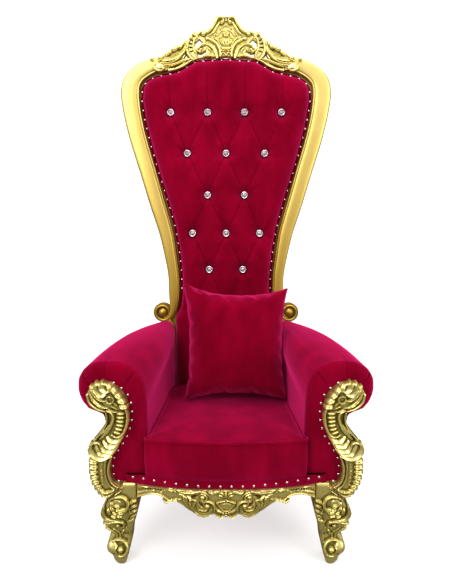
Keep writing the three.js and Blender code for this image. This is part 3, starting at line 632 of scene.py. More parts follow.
        # Painted shade: the deeper a point lies below the blurred levels about it, the darker it is painted,
        # and the rear side gets a faint painted shade
        reach = max(2, round(blur_reach / self.pitch))
        nearby = blurred(blurred(np.where(inside > 0, self.level, self.level - overhang), reach), reach)
        sunk = np.clip((nearby - self.level)[used] / darkest_below, 0, 1)
        painted_shade = np.concatenate([sunk, np.full(count, rear_painted_shade)])
        return points, faces, painted_shade


def carved_piece(name, form, node, side=1):
    """A gilded piece made from a carved form, mirrored where side is -1."""
    points, faces, painted_shade = form
    made = new_piece(name, [(points * (side, 1, 1), faces)], carved_gilding)
    store_painted_shade(made, painted_shade)
    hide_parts(node)


CREST_TOP = [
    (0, 1838), (14, 1836), (29, 1838), (39, 1831), (48, 1811), (61, 1793), (72, 1786), (92, 1785),
    (103, 1776), (111, 1772), (122, 1781), (130, 1768), (143, 1752), (152, 1744), (168, 1738),
    (181, 1728), (184, 1722), (199, 1715), (210, 1706), (224, 1695),
]
CREST_FOOT = [
    (224, 1632), (204, 1635), (185, 1641), (166, 1650), (148, 1662), (122, 1676), (89, 1682), (37, 1684),
    (0, 1687),
]
CREST_HOLES = [
    [(103, 1752), (89, 1738), (97, 1726), (111, 1717), (118, 1723), (118, 1740)],
    [(109, 1701), (97, 1698), (86, 1704), (77, 1709), (75, 1699), (86, 1692), (101, 1686), (108, 1690)],
    [(154, 1695), (167, 1673), (143, 1678)],
]


def make_crest():
    outline = both_halves([*CREST_TOP, *CREST_FOOT])
    holes = [*CREST_HOLES, *(across(hole) for hole in CREST_HOLES)]
    relief = Relief([outline, *holes], 1.4, margin=75, sides=(1, -1))
    stroke, lobe = relief.stroke, relief.lobe
    relief.soften_edge(6, 4)
    # The cartouche: two mouldings round it, a fine border, and beads under its top
    line = [(0, 1831), (14, 1830), (27, 1832), (37, 1823), (46, 1806), (57, 1790), (70, 1778), (84, 1771)]
    stroke(line, [8, 11, 12, 9], 9)
    stroke([(21, 1815), (31, 1804), (41, 1789), (50, 1775), (63, 1764)], [6, 8, 8, 6], 6)
    stroke([(0, 1801), (14, 1795), (25, 1788), (30, 1778), (47, 1763)], [5, 5, 5, 4], 5)
    stroke([(47, 1763), (36, 1749), (25, 1735), (17, 1717)], [4, 5, 4], 5)
    lobe(16, 1812, 19, 12, -25, 13)
    for lift in (-24, 0, 24):
        lobe(0.4 * lift, 1821, 17, 6, 90 - lift, 9, vein=0.3)
    # The flower and the leaves beside it and below
    lobe(0, 1769, 8, 8, 0, 12)
    for angle in (18, 90, 162, 234, 306):
        lobe(*around(0, 1769, 8, angle), 12, 11, angle, 8, vein=0.3)
    stroke([(12, 1783), (24, 1778), (31, 1768), (40, 1762)], [3, 7, 3], 6, "leaf")
    stroke([(13, 1762), (24, 1757), (30, 1747)], [3, 6, 3], 6, "leaf")
    stroke([(14, 1752), (20, 1742), (15, 1730)], [3, 5, 3], 5)
    lobe(0, 1736, 24, 8, 90, 8, vein=0.4)
    lobe(9, 1733, 19, 7, 55, 7, vein=0.4)
    stroke([(0, 1717), (15, 1717)], [4, 4], 5)
    stroke([(0, 1709), (17, 1709)], [5, 5], 6)
    stroke([(3, 1690), (8, 1700), (16, 1698), (18, 1690)], [4, 6, 5, 4], 6)
    # Two bands that sweep out from its foot, and the wave-shaped hooks
    stroke([(74, 1755), (57, 1747), (39, 1737), (27, 1721), (22, 1702), (22, 1686)], [8, 10, 11, 9], 8)
    stroke([(84, 1735), (62, 1729), (46, 1715), (38, 1697), (34, 1683)], [7, 13, 14, 11], 8, "channel")
    stroke([(80, 1733), (96, 1728), (105, 1719), (112, 1712)], [9, 12, 8, 3], 8)
    stroke([(112, 1711), (101, 1703), (90, 1706)], [3, 8, 8], 8)
    lobe(96, 1710, 16, 13, 0, 13)
    relief.row([(88, 1687), (70, 1690), (54, 1689)], 4, 14, 9, 8, turn=60, vein=0.4)
    stroke([(58, 1704), (64, 1714), (74, 1717)], [5, 7, 4], 6)
    lobe(88, 1768, 17, 15, 0, 12)
    lobe(75, 1751, 12, 9, 10, 9)
    stroke([(96, 1779), (108, 1768), (112, 1756)], [7, 10, 6], 7, "leaf")
    # The arches: an outer and an inner rib with pits between them
    line = [(121, 1778), (134, 1758), (146, 1737), (150, 1713), (143, 1690), (126, 1672)]
    stroke(line, [6, 10, 11, 11, 9], 9)
    line = [(113, 1762), (122, 1746), (126, 1728), (124, 1712), (115, 1697), (112, 1684)]
    stroke(line, [6, 8, 8, 7, 5], 7)
    for x, y, angle in [(123, 1762, 15), (134, 1748, 20), (137, 1734, 10), (136, 1720, 0), (132, 1706, -20)]:
        stroke([around(x, y, -5, angle), around(x, y, 5, angle)], [5, 6], 9, "groove")
    # The wings: a broad channelled leaf with serrations and beads along its top
    for x, y in [(164, 1732), (194, 1715), (223, 1697), (251, 1682)]:
        lobe(x, y, 38, 15, -34, 9, base=2)
        stroke([(x - 10, y - 7), (x - 2, y + 2), (x + 9, y + 2)], [2, 5, 2], 4, "groove")
    line = [(153, 1740), (160, 1711), (177, 1693), (203, 1679), (232, 1673), (262, 1671)]
    stroke(line, [8, 17, 18, 17, 9], 9, "channel", base=2)
    line = [(155, 1716), (165, 1696), (183, 1678), (206, 1665), (236, 1659), (262, 1661)]
    stroke(line, [4, 6, 7, 6], 9, base=2)
    for x, y, radius in [(176, 1720, 8), (206, 1709, 6), (229, 1690, 6), (252, 1679, 8), (285, 1674, 7)]:
        lobe(x, y, 2.3 * radius, 2 * radius, -30, 12, base=4)
    lobe(257, 1646, 40, 30, 10, 10, base=3)
    stroke([(272, 1660), (278, 1648), (268, 1634), (250, 1631), (238, 1640)], [7, 8, 8, 6], 8, base=6)
    stroke([(245, 1638), (255, 1638)], [5, 5], 5, "groove")
    # The rail under them, with a long pierced slot
    stroke([(240, 1652), (200, 1658), (163, 1672), (130, 1679)], [7, 8, 8, 5], 6, base=1)
    stroke([(214, 1634), (185, 1642), (161, 1653), (140, 1667), (112, 1679)], [6, 8, 8, 5], 6)
    stroke([(220, 1645), (196, 1650), (168, 1662)], [7, 10, 5], 9, "groove")
    relief.tool_marks(0.9, 11)
    # The board is thick between the frame's sides, and beyond them its wings lie on their face
    frame_inside, board_rear, wing_rear = 222, -21.6, 0.8
    rear = np.where(np.abs(relief.x) < frame_inside, board_rear, wing_rear)
    carved_piece("crest_carved", relief.form(on_back, rear), "crest")


make_crest()


# Rails and rear legs
# Plain sawn wood rails join the legs under the seat, and the raked rear legs carry the back's posts.
# They are gilded like the frame but less polished.
rail_gilding = gilding_material("rail_gilding", 0.5, 0.7, (0.60, 0.24), OLIVE)
for name in ("side_rail_left", "side_rail_right", "rear_rail", "rear_leg_left", "rear_leg_right"):
    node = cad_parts[name]
    node.data.materials.clear()
    node.data.materials.append(rail_gilding)


# Front legs
# Each front leg is carved from one block: a flat post beside the apron, a big leafy scroll on the knee,
# a small scroll at the neck and a rolled toe on a foot pad. LEG_DEPTH is height, rear and front.
SIDES = (1, "right"), (-1, "left")
LEG_OUTER = [
    (330, 292), (352, 262), (371, 240), (386, 218), (398, 190), (398, 172), (393, 160), (399, 145),
    (393, 123), (375, 105), (386, 84), (391, 60), (384, 38), (372, 28), (367, 14), (356, 2), (348, 0),
]
LEG_INNER = [
    (338, 0), (330, 6), (321, 35), (314, 64), (308, 110), (303, 140), (294, 162), (287, 188), (285, 212),
    (287, 244), (287, 292),
]
LEG_DEPTH = [
    (0, 262, 338), (14, 258, 338), (26, 254, 336), (50, 250, 330), (74, 252, 320), (99, 254, 311),
    (115, 250, 318), (160, 232, 330), (188, 220, 334), (214, 210, 334), (235, 206, 332), (292, 206, 328),
]


def make_front_legs():
    height, rear, front = np.array(LEG_DEPTH, float).T
    relief = Relief([[*LEG_OUTER, *LEG_INNER]], 1.4)
    stroke, lobe = relief.stroke, relief.lobe
    flat = np.interp(relief.y, height, front) - 3
    relief.soften_edge(13, 8)
    # Knee: a big C-scroll filled with leaves, and its lower lip
    line = [(374, 238), (352, 249), (330, 247), (316, 230), (319, 207), (334, 188)]
    stroke(line, [6, 11, 12, 11, 6], 13)
    lobe(352, 224, 34, 26, 30, 5, grow=False)
    for x, y, angle in [(366, 222, 70), (350, 217, 25), (366, 206, 60), (346, 202, 20), (331, 205, 0)]:
        lobe(x, y, 23, 14, angle, 12, vein=0.45)
    for x, y, angle in [(378, 196, 80), (358, 190, 35), (340, 192, 10), (362, 177, 30), (344, 179, 10)]:
        lobe(x, y, 22, 13, angle, 10, vein=0.45)
    stroke([(395, 212), (398, 190), (390, 172), (372, 163), (350, 163)], [7, 14, 16, 13, 6], 13, "leaf")
    curl = [(398, 150), (376, 154), (352, 157), (337, 155), (331, 145), (337, 134), (350, 131)]
    stroke(curl, [7, 10, 11, 9, 5], 12)
    lobe(352, 143, 16, 14, 0, 15)
    # Leaves down the inner side
    for start, end in [((289, 236), (311, 222)), ((288, 220), (309, 205)), ((288, 203), (307, 189))]:
        stroke([start, ((start[0] + end[0]) / 2, start[1] - 3), end], [8, 12, 5], 11, "leaf")
    stroke([(291, 188), (303, 178), (312, 164)], [8, 13, 5], 11, "leaf")
    stroke([(298, 170), (308, 163), (322, 158)], [7, 10, 5], 10, "leaf")
    stroke([(316, 214), (311, 190), (322, 164)], [3, 5, 3], 5)
    # Neck with flutes, and the rolled toe
    stroke([(392, 128), (376, 116), (362, 103), (360, 86)], [8, 9, 8, 6], 7)
    stroke([(372, 128), (360, 116), (350, 102), (350, 86)], [5, 7, 7, 5], 6)
    lobe(340, 108, 26, 10, 115, 8)
    stroke([(326, 128), (317, 108), (319, 84), (326, 66)], [4, 6, 6, 4], 6)
    lobe(374, 60, 40, 36, 80, 12)
    stroke([(376, 76), (354, 83), (333, 76), (323, 56), (334, 36), (354, 32)], [7, 11, 12, 11, 6], 11)
    lobe(347, 54, 22, 20, 0, 15)
    stroke([(358, 40), (363, 54), (356, 66)], [4, 7, 4], 12)
    # The arm carving's last leaves run on over the top
    for start, end in [((386, 272), (330, 282)), ((380, 258), (338, 268)), ((370, 247), (340, 254))]:
        middle = ((start[0] + end[0]) / 2, start[1] - 1)
        stroke([start, middle, end], [8, 10, 5], 10, "leaf", grow=False)
    stroke([(290, 290), (290, 250)], [3, 3], 3, grow=False)
    relief.tool_marks(0.9, 12)
    relief.level += flat
    form = relief.form(upright, np.interp(relief.y, height, rear), taper=0.85)
    for side, word in SIDES:
        carved_piece(f"front_leg_carved_{word}", form, f"front_leg_{word}", side)


make_front_legs()

# Apron
# A bowed, pierced board closes the seat's front between the legs. It has flat side panels with gouge
# marks, leafy scrolls and a shell in the middle, and a moulding along its top.
APRON_LOWER = [
    (285.6, 247), (259, 258), (236, 265), (212, 264), (200, 257), (197, 246), (184, 241), (174, 246),
    (164, 250), (154, 243), (137, 233), (120, 219), (103, 209), (81, 203), (67, 202), (52, 206),
    (45, 204), (37, 208), (28, 200), (18, 195), (8, 199), (0, 201),
]
APRON_HOLES = [
    [(84, 253), (74, 246), (71, 235), (66, 228), (79, 233), (86, 244)],
    [(112, 268), (98, 275), (88, 273), (97, 263), (109, 262)],
]


def on_apron(x, height, level):
    """Place of a point of the bowed apron, whose level is its distance in front of the board's face."""
    ends, bow, half_length = 330, 34, 286
    return upright(x, height, ends + bow * np.maximum(0, 1 - (x / half_length) ** 2) + level)


def make_apron():
    outline = both_halves([(0, 291.6), (285.6, 291.6), *APRON_LOWER])
    holes = [*APRON_HOLES, *(across(hole) for hole in APRON_HOLES)]
    relief = Relief([outline, *holes], 1.5, sides=(1, -1))
    stroke, lobe = relief.stroke, relief.lobe
    relief.soften_edge(4, 3)
    # Flat side panels: beads round them and a row of gouge marks
    line = [(284, 250), (259, 262), (235, 269), (212, 268), (200, 262), (188, 252)]
    stroke(line, [5, 7, 7, 5], 7, grow=False)
    stroke([(283, 288), (283, 252)], [4, 4], 4, grow=False)
    stroke([(283, 289), (230, 290), (184, 290)], [4, 4, 4], 5, grow=False)
    stroke([(256, 272), (234, 278), (210, 276)], [2, 4, 2], 3, grow=False)
    stroke([(279, 272), (250, 281), (206, 281)], [16, 17, 13], 3.5, "groove", grow=False)
    for i in range(12):
        lobe(276 - 8.2 * i, 281 + (i % 3), 9, 3.6, 80 - 30 * (i > 8), 3, grow=False)
    # Curled leaves where the arch ends
    stroke([(199, 250), (190, 243), (178, 248), (172, 256)], [6, 9, 6, 3], 8)
    stroke([(190, 254), (176, 249), (160, 255), (142, 256)], [5, 9, 9, 4], 8, "leaf")
    stroke([(183, 288), (172, 284), (163, 289)], [4, 7, 4], 7)
    stroke([(166, 290), (160, 283), (152, 277)], [5, 7, 3], 7, "leaf")
    # Two mouldings that run in to the middle
    stroke([(156, 289), (140, 283), (116, 282), (92, 286), (68, 285), (52, 274)], [4, 7, 7, 7, 5], 8)
    stroke([(150, 290), (124, 289), (98, 290), (74, 289)], [3, 5, 5, 4], 7)
    # Ribbed leaves outside the scroll
    stroke([(146, 274), (134, 270), (132, 256), (126, 232)], [4, 8, 9, 6], 8, "blade")
    stroke([(134, 268), (124, 262), (124, 246), (115, 224)], [4, 8, 9, 6], 9, "blade")
    stroke([(121, 268), (111, 258), (114, 244), (106, 226), (98, 212)], [5, 9, 9, 6], 9, "blade")
    # The scroll round the hole, with two balls
    stroke([(112, 256), (100, 259), (90, 253)], [4, 7, 5], 9)
    line = [(100, 250), (102, 232), (89, 214), (71, 207), (53, 213), (47, 224)]
    stroke(line, [8, 15, 17, 16, 8], 10, "channel")
    stroke([(92, 240), (86, 226), (70, 221), (58, 225)], [4, 6, 6, 4], 8)
    stroke([(86, 271), (76, 280), (62, 273), (63, 260), (77, 256)], [4, 7, 7, 4], 9)
    lobe(74, 269, 17, 15, 0, 12)
    stroke([(72, 247), (59, 255), (46, 250), (36, 238), (37, 222)], [4, 8, 9, 6], 9)
    lobe(59, 238, 18, 17, 0, 12)
    # The middle: a shield with an eye-shaped boss, leaves below it and beads
    stroke([(58, 291), (46, 283), (32, 290), (16, 290)], [4, 7, 7, 4], 8)
    stroke([(46, 277), (26, 286), (10, 281), (4, 268)], [4, 6, 6, 3], 6)
    stroke([(21, 276), (14, 275), (9, 267)], [8, 7, 3], 8)
    lobe(0, 279, 22, 8, 90, 9)
    lobe(0, 240, 46, 30, 0, 5, grow=False)
    stroke([(0, 259), (14, 256), (30, 249)], [5, 5, 4], 9)
    stroke([(30, 249), (16, 231), (8, 223), (0, 222)], [4, 4, 4], 8)
    stroke([(0, 250), (10, 248), (21, 242)], [6, 5, 3], 9)
    stroke([(53, 256), (38, 246), (27, 226), (13, 216)], [5, 9, 9, 5], 9, "blade")
    stroke([(36, 212), (26, 203), (16, 200), (7, 207)], [6, 9, 9, 5], 9, "leaf")
    for x in (0, 8):
        lobe(x, 214 + 0.2 * x, 8, 8, 0, 9)
    lobe(0, 204, 10, 12, 90, 8)
    relief.tool_marks(0.9, 13)
    carved_piece("apron_carved", relief.form(on_apron, -24), "apron")


make_apron()


# Arm pads
# Each arm is a board and foam roll under velvet, fat and round at the front and narrow at the back. The
# velvet is pleated over the front edge and nailed down along the carving.
def velvet_group():
    """Colour and fine pile of velvet: broad lighter strokes where the pile lies over, and painted shade in
    the folds.
    """
    group, given, result = new_group("velvet", {"Depth": "Float"}, {"Colour": "Color", "Normal": "Vector"})
    place = add_node(group, "ShaderNodeTexCoord").outputs["Object"]
    stretch = add_node(group, "ShaderNodeMapping", {"Vector": place, "Scale": (1, 1, 0.45)}).outputs[0]
    nap = add_node(group, "ShaderNodeTexNoise", {"Vector": stretch, "Scale": 14, "Detail": 5}).outputs[0]
    pile = add_node(group, "ShaderNodeTexNoise", {"Vector": place, "Scale": 900, "Detail": 1}).outputs[0]
    span = {"Value": nap, "From Min": 0.38, "From Max": 0.68}
    spread = add_node(group, "ShaderNodeMapRange", span).outputs[0]
    tone = blend(group, spread, (0.12, 0.0002, 0.006, 1), (0.19, 0.0005, 0.012, 1))
    # Painted shade: the crimson turns darker where the painted fold shade is high
    group.links.new(blend(group, given["Depth"], tone, (0.06, 0.0001, 0.003, 1)), result["Colour"])
    bump = add_node(group, "ShaderNodeBump", {"Height": pile, "Strength": 0.25, "Distance": 0.0008})
    group.links.new(bump.outputs[0], result["Normal"])
    return group


def velvet_material(name):
    """Crimson velvet, with a constant soft sheen of its pile. The painted_shade attribute paints shade into
    its folds.
    """
    constants = {"Roughness": 0.9, "Specular IOR Level": 0.0, "Sheen Weight": 0.9, "Sheen Roughness": 0.46}
    constants["Sheen Tint"] = (1.0, 0.035, 0.25, 1)
    material, tree, shader = new_material(name, constants)
    painted_shade = add_node(tree, "ShaderNodeAttribute", attribute_name="painted_shade")
    look = add_node(tree, "ShaderNodeGroup", {"Depth": painted_shade.outputs["Fac"]}, node_tree=velvet_group())
    dress(tree, shader, look)
    return material


crimson_velvet = velvet_material("crimson_velvet")

# The arm's section at its front and at its back, from the outer foot over the roll to the inner foot, and
# the pleats: inner end and outer end of each
ARM_SECTION = [
    (372, 270), (378, 520), (404, 531), (436, 541), (451, 560), (463, 594), (460, 638), (443, 669),
    (408, 691), (370, 695), (330, 692), (295, 679), (267, 654), (253, 615), (249, 560), (249, 440),
    (249, 270),
]
ARM_SECTION_BACK = [
    (252, 270), (252, 590), (256, 600), (267, 608), (276, 622), (277, 640), (275, 655), (268, 667),
    (258, 676), (245, 680), (230, 680), (219, 675), (209, 665), (203, 650), (200, 600), (200, 440),
    (200, 270),
]
PLEATS = [(439, 590, 466, 593), (421, 623, 446, 657), (372, 641, 371, 698), (315, 623, 287, 657)]
SEAT_LEVEL = 292


def dense(points, per_side):
    """A closed outline as rows of evenly spaced points, with the same count on every side."""
    ring = np.array(points, float)
    t = np.linspace(0, 1, per_side, endpoint=False)[:, None]
    return np.vstack([a + (b - a) * t for a, b in zip(ring, np.roll(ring, -1, axis=0))])


def eased(ring, times):
    """A closed ring of points with its corners smoothed."""
    for _ in range(times):
        ring = (np.roll(ring, 1, axis=0) + 2 * ring + np.roll(ring, -1, axis=0)) / 4
    return ring


def outward(ring):
    """The direction out of a closed ring at each of its points."""
    normal = asides(np.vstack([ring[-1:], ring, ring[:1]]))[1:-1]
    return normal if np.sum(normal * (ring - ring.mean(0))) > 0 else -normal


def make_arm_pads():
    roll_foot, roll_middle, puff_out, puff_up = 540, 349, 19, 15
    pleat_width, pleat_depth = 7, 3.5
    round_radius, round_drop, carved_side = 25, 19, 335
    edge, face, behind_foot = ARM_FRONT - 20, ARM_FRONT - 4, -168
    front = eased(dense(ARM_SECTION, 8), 5)
    rear = eased(dense(ARM_SECTION_BACK, 8), 5)
    pleat = 0
    for _, _, x, y in PLEATS:
        pleat = pleat + np.exp(-((np.hypot(front[:, 0] - x, front[:, 1] - y) / pleat_width) ** 2))
    roll = np.clip((front[:, 1] - roll_foot) / 60, 0, 1)
    roll = roll * roll * (3 - 2 * roll)
    sideways = np.clip((front[:, 0] - roll_middle) / 50, -1, 1)
    puff = np.column_stack([sideways * puff_out * roll, puff_up * roll])
    rings = []
    for t in np.linspace(0, 1, 46):
        ring = front + (rear - front) * t + puff * math.sin(math.pi * t)
        ring = ring - outward(ring) * (pleat_depth * np.exp(-t / 0.07) * pleat)[:, None]
        ring[:, 1] = np.maximum(ring[:, 1], SEAT_LEVEL)
        behind = behind_foot - (ring[:, 1] - SEAT_HEIGHT) * math.tan(LEAN)
        rings.append(upright(ring[:, 0], ring[:, 1], edge + (behind - edge) * t))
    # The padded front rounds over towards its edge, but not at its foot nor where the carving covers it
    relief = Relief([[(x, max(z, SEAT_LEVEL)) for x, z in front]], 2.6, margin=6)
    near = np.clip(1 - relief.depth_in / round_radius, 0, 1)
    near *= np.clip((relief.y - SEAT_LEVEL - 8) / 25, 0, 1)
    near *= np.where(relief.x > carved_side, np.clip((relief.y - 505) / 40, 0, 1), 1)
    relief.level += 4 * np.clip(relief.depth_in / 45, 0, 1)
    relief.level -= round_drop * (1 - np.sqrt(np.maximum(1 - near**2, 0)))
    for x0, z0, x1, z1 in PLEATS:
        relief.stroke([(x0, z0), (x1, z1)], [3, 8], 7, "groove")
    *cap, _ = relief.form(lambda x, y, level: upright(x, y, face + level), edge - face - 4, flat_rear=True)
    for side, word in SIDES:
        forms = [(points.reshape(-1, 3) * (side, 1, 1), faces) for points, faces in (closed(rings), cap)]
        made = new_piece(f"arm_pad_velvet_{word}", forms, crimson_velvet, sharp=70)
        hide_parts(f"arm_pad_{word}")


make_arm_pads()

# Arm carvings
# A carved board covers each arm's front: a leafy volute at the top, a ribbed hollow band and stacked
# crescents below it, and a panel of ribs and beads that curls under into the leg.
ARM_OUTER = [
    (377, 640), (399, 637), (417, 626), (427, 607), (424, 583), (410, 562), (390, 548), (374, 541),
    (371, 528), (373, 503), (387, 478), (407, 453), (423, 436), (432, 417), (432, 400), (428, 388),
    (434, 374), (437, 340), (432, 302), (418, 273), (398, 252), (384, 243),
]
ARM_INNER = [
    (331, 282), (347, 284), (361, 304), (368, 329), (366, 366), (356, 397), (338, 430), (320, 462),
    (308, 490), (303, 518), (302, 545), (306, 576), (318, 602), (335, 621), (356, 634),
]


def make_arm_carvings():
    board_face = ARM_FRONT + 20
    relief = Relief([[*ARM_OUTER, *ARM_INNER]], 1.4, margin=14)
    stroke, lobe = relief.stroke, relief.lobe
    relief.soften_edge(18, 14)
    relief.level -= 2
    # Volute: overlapping leaves curl over a smooth sunk eye
    stroke(spiral(378, 590, 47, 40, 15, 150), [6, 9, 6], 5)
    stroke([(426, 600), (420, 575), (400, 555), (374, 545)], [7, 8, 8, 5], 8)
    stroke([(419, 612), (408, 584), (386, 562), (366, 556)], [6, 13, 12, 5], 9, "leaf")
    stroke([(414, 626), (400, 600), (384, 582), (372, 580)], [9, 18, 14, 5], 12, "leaf")
    stroke([(398, 637), (398, 612), (384, 598), (370, 600)], [10, 24, 18, 6], 13, "blade")
    stroke([(380, 640), (380, 622), (368, 610), (358, 612)], [9, 19, 14, 5], 13, "blade")
    for x, y, angle in [(356, 622, 75), (341, 611, 55), (330, 596, 38), (321, 579, 22), (316, 561, 8)]:
        lobe(x, y, 29, 18, angle + 180, 14, vein=0.3, point=0.2)
    stroke(spiral(357, 583, 12, 11, 30, 330), [4, 5, 5], 7)
    stroke([(346, 572), (336, 566)], [4, 4], 5)
    stroke([(352, 562), (338, 554)], [5, 4], 6)
    stroke([(362, 552), (350, 545), (336, 543)], [5, 6, 4], 7)
    # Hollow band: an outer rib that curls over, a ladder of short bars, a sharp inner rim
    stroke([(368, 548), (354, 540), (350, 522), (359, 498), (376, 474), (394, 452)], [6, 8, 8, 8, 5], 9)
    stroke([(371, 540), (370, 520), (374, 500), (390, 474), (412, 448)], [5, 6, 7, 6], 8)
    stroke([(362, 500), (378, 480), (398, 462)], [4, 7, 3], 9)
    stroke([(352, 505), (366, 480), (384, 458)], [4, 8, 3], 9, "leaf")
    for i, (x, y) in enumerate([(326, 538), (327, 525), (329, 512), (330, 499), (334, 486), (340, 474)]):
        lobe(x, y, 25, 10, 4 * i, 9)
    stroke([(311, 556), (305, 530), (309, 498), (323, 468), (343, 459), (356, 467)], [5, 8, 9, 9, 5], 10)
    # Stacked crescents that widen into one broad lip
    stroke([(372, 458), (360, 445), (341, 445), (322, 461)], [7, 13, 13, 7], 11, "blade")
    stroke([(384, 445), (371, 428), (351, 429), (331, 444)], [7, 14, 14, 7], 11, "blade")
    stroke([(395, 436), (381, 413), (360, 412), (341, 426)], [8, 15, 15, 8], 11, "blade")
    stroke([(408, 430), (395, 403), (372, 400), (350, 410)], [8, 15, 15, 8], 11, "blade")
    stroke([(422, 436), (427, 414), (413, 393), (390, 387), (360, 396)], [9, 18, 18, 9], 12, "blade")
    stroke([(424, 432), (408, 441), (395, 437), (391, 424)], [5, 9, 8, 4], 11)
    # Lower panel: lobes outside, a row of beads, a smooth hollow and its rim
    lobes = [(419, 375), (420, 356), (421, 337), (419, 318), (416, 300), (409, 283), (400, 268)]
    for i, (x, y) in enumerate(lobes):
        lobe(x, y, 31 - i, 19, 12 - 7 * i, 12 - 0.4 * i, vein=0.35)
        lobe(x - 6, y - 9, 9, 7, 0, 9)
    for i in range(8):
        lobe(393 + 2 * math.sin(0.4 * i), 378 - 12 * i, 6, 6, 0, 6)
    stroke([(380, 384), (383, 350), (382, 316), (372, 290), (356, 276)], [5, 5, 6, 5], 4)
    stroke([(361, 390), (371, 360), (373, 330), (365, 302), (349, 286), (336, 284)], [5, 7, 7, 7, 4], 7)
    stroke([(396, 268), (376, 268), (356, 276)], [8, 11, 5], 11, "leaf")
    stroke([(398, 256), (380, 254), (362, 264)], [7, 10, 4], 11, "leaf")
    relief.tool_marks(0.9, 14)
    form = relief.form(lambda x, y, level: upright(x, y, board_face + level), -19.5)
    for side, word in SIDES:
        carved_piece(f"arm_carving_gilded_{word}", form, f"arm_carving_{word}", side)


make_arm_carvings()


# Seat base
# A webbed frame covered in velvet lies on the rails. Its front edge shows as a narrow nailed band that
# runs in a bow between the arms and laps over their front ends.
BAND_HALF = 322


def band_front(x):
    """How far forward the nailed band stands: it bows between the arms and ends flush with them."""
    ends, bow = ARM_FRONT + 2, 46
    return ends + bow * (1 - (np.abs(x) / BAND_HALF) ** 2.6)


def band_lift(x):
    """How much higher the band stands towards the arms than in the middle."""
    return 11 * np.clip((np.abs(x) - 60) / 200, 0, 1)


def seat_plan(front_half, forward, bow, rear, margin):
    """Outline of a layer of the seat: a bowed front lapped over the arms, narrowing to the back."""
    between_arms = {"xp": [-172, ARM_FRONT], "fp": [201, 250]}
    shares = np.linspace(0, 1, 9)
    front = [(share * front_half, forward + bow * (1 - share**2)) for share in shares]
    inside = [np.interp(place, **between_arms) - margin for place in (ARM_FRONT, 80, rear)]
    lap = ARM_FRONT + 0.4
    sides = [(front_half, lap), (inside[0], lap), (inside[1], 80), (inside[2], rear)]
    return both_halves([*front, *sides, (0, rear)])


def make_seat_base():
    # Each ring of the edge: height, how far it is drawn in, and its share of the lift
    section = [(292, 3, 0), (294, 0.6, 0.4), (300, 0, 0.8), (307, 0.8, 1), (310, 4, 1)]
    ring = eased(dense(seat_plan(BAND_HALF, 326, 34, -138, 2), 6), 2)
    ring[:, 1] = np.where(ring[:, 1] > ARM_FRONT + 0.6, band_front(ring[:, 0]), ring[:, 1])
    lift = band_lift(ring[:, 0]) * (ring[:, 1] > ARM_FRONT - 7)
    rings = []
    for height, inset, raised in section:
        x, forward = (ring - outward(ring) * inset).T
        rings.append(upright(x, height + raised * lift, forward))
    made = new_piece("seat_base_velvet", [closed(rings)], crimson_velvet, sharp=60)
    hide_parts("seat_base")


make_seat_base()


# Seat cushion
# A thick loose cushion lies on the base. Its front bows a little, a welt runs round its top edge and its
# front corners are square; the top is gently crowned.
def make_seat_cushion():
    seam, crown, welt_radius, centre = 446, 13, 4, np.array((0, 100))
    outer = eased(dense(seat_plan(255, 330, 22, -122, 3), 10), 5)
    normal = outward(outer)
    rings = []
    for height, out in [(310, -5), (313, -1), (330, 1.5), (375, 3), (420, 2), (438, 0), (444, -2)]:
        x, forward = (outer + normal * out).T
        rings.append(upright(x, height, forward))
    for share in np.linspace(0, 1, 30)[1:]:
        x, forward = (centre + (outer + normal * -3 - centre) * (1 - share * 0.985)).T
        rings.append(upright(x, seam + crown * (1 - (1 - share) ** 2.2), forward))
    welt = []
    for angle in np.linspace(0, 2 * math.pi, 10, endpoint=False):
        x, forward = (outer + normal * (-0.5 + welt_radius * math.cos(angle))).T
        welt.append(upright(x, seam + welt_radius * math.sin(angle), forward))
    welt = np.stack(welt)
    at = np.arange(welt.shape[0] * welt.shape[1]).reshape(welt.shape[:2])
    down, over = np.roll(at, -1, axis=0), np.roll(at, -1, axis=1)
    tube = np.stack([at, over, np.roll(down, -1, axis=1), down], axis=-1).reshape(-1, 4).tolist()
    made = new_piece("seat_cushion_velvet", [closed(rings), (welt, tube)], crimson_velvet, sharp=70)
    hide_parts("seat_cushion")


make_seat_cushion()

# Back pad
# The back is deep-buttoned foam under velvet: a nailed border strip, a steep crowned edge, folds that
# run between neighbouring buttons and straight pleats from the top buttons up to the edge.
PAD_EDGE = [
    (0, 1684), (37, 1681), (89, 1679), (122, 1674), (148, 1659), (185, 1638), (204, 1633), (240, 1627),
    (287, 1614), (312, 1598), (330, 1568), (332, 1518), (318, 1434), (297, 1350), (272, 1262),
    (237, 1150), (206, 1045), (191, 958), (182, 872), (180, 790), (187, 740), (200, 690), (196, 650),
    (196, 425),
]
BUTTON_ROWS = [(1472, 71, 213), (1319, 0, 149), (1162, 71), (1017, 0, 130), (879, 65), (733, 0, 125)]


def button_row(spots):
    """Places of a row's buttons across the back, from the left."""
    return sorted({sign * spot for spot in spots for sign in (1, -1)})


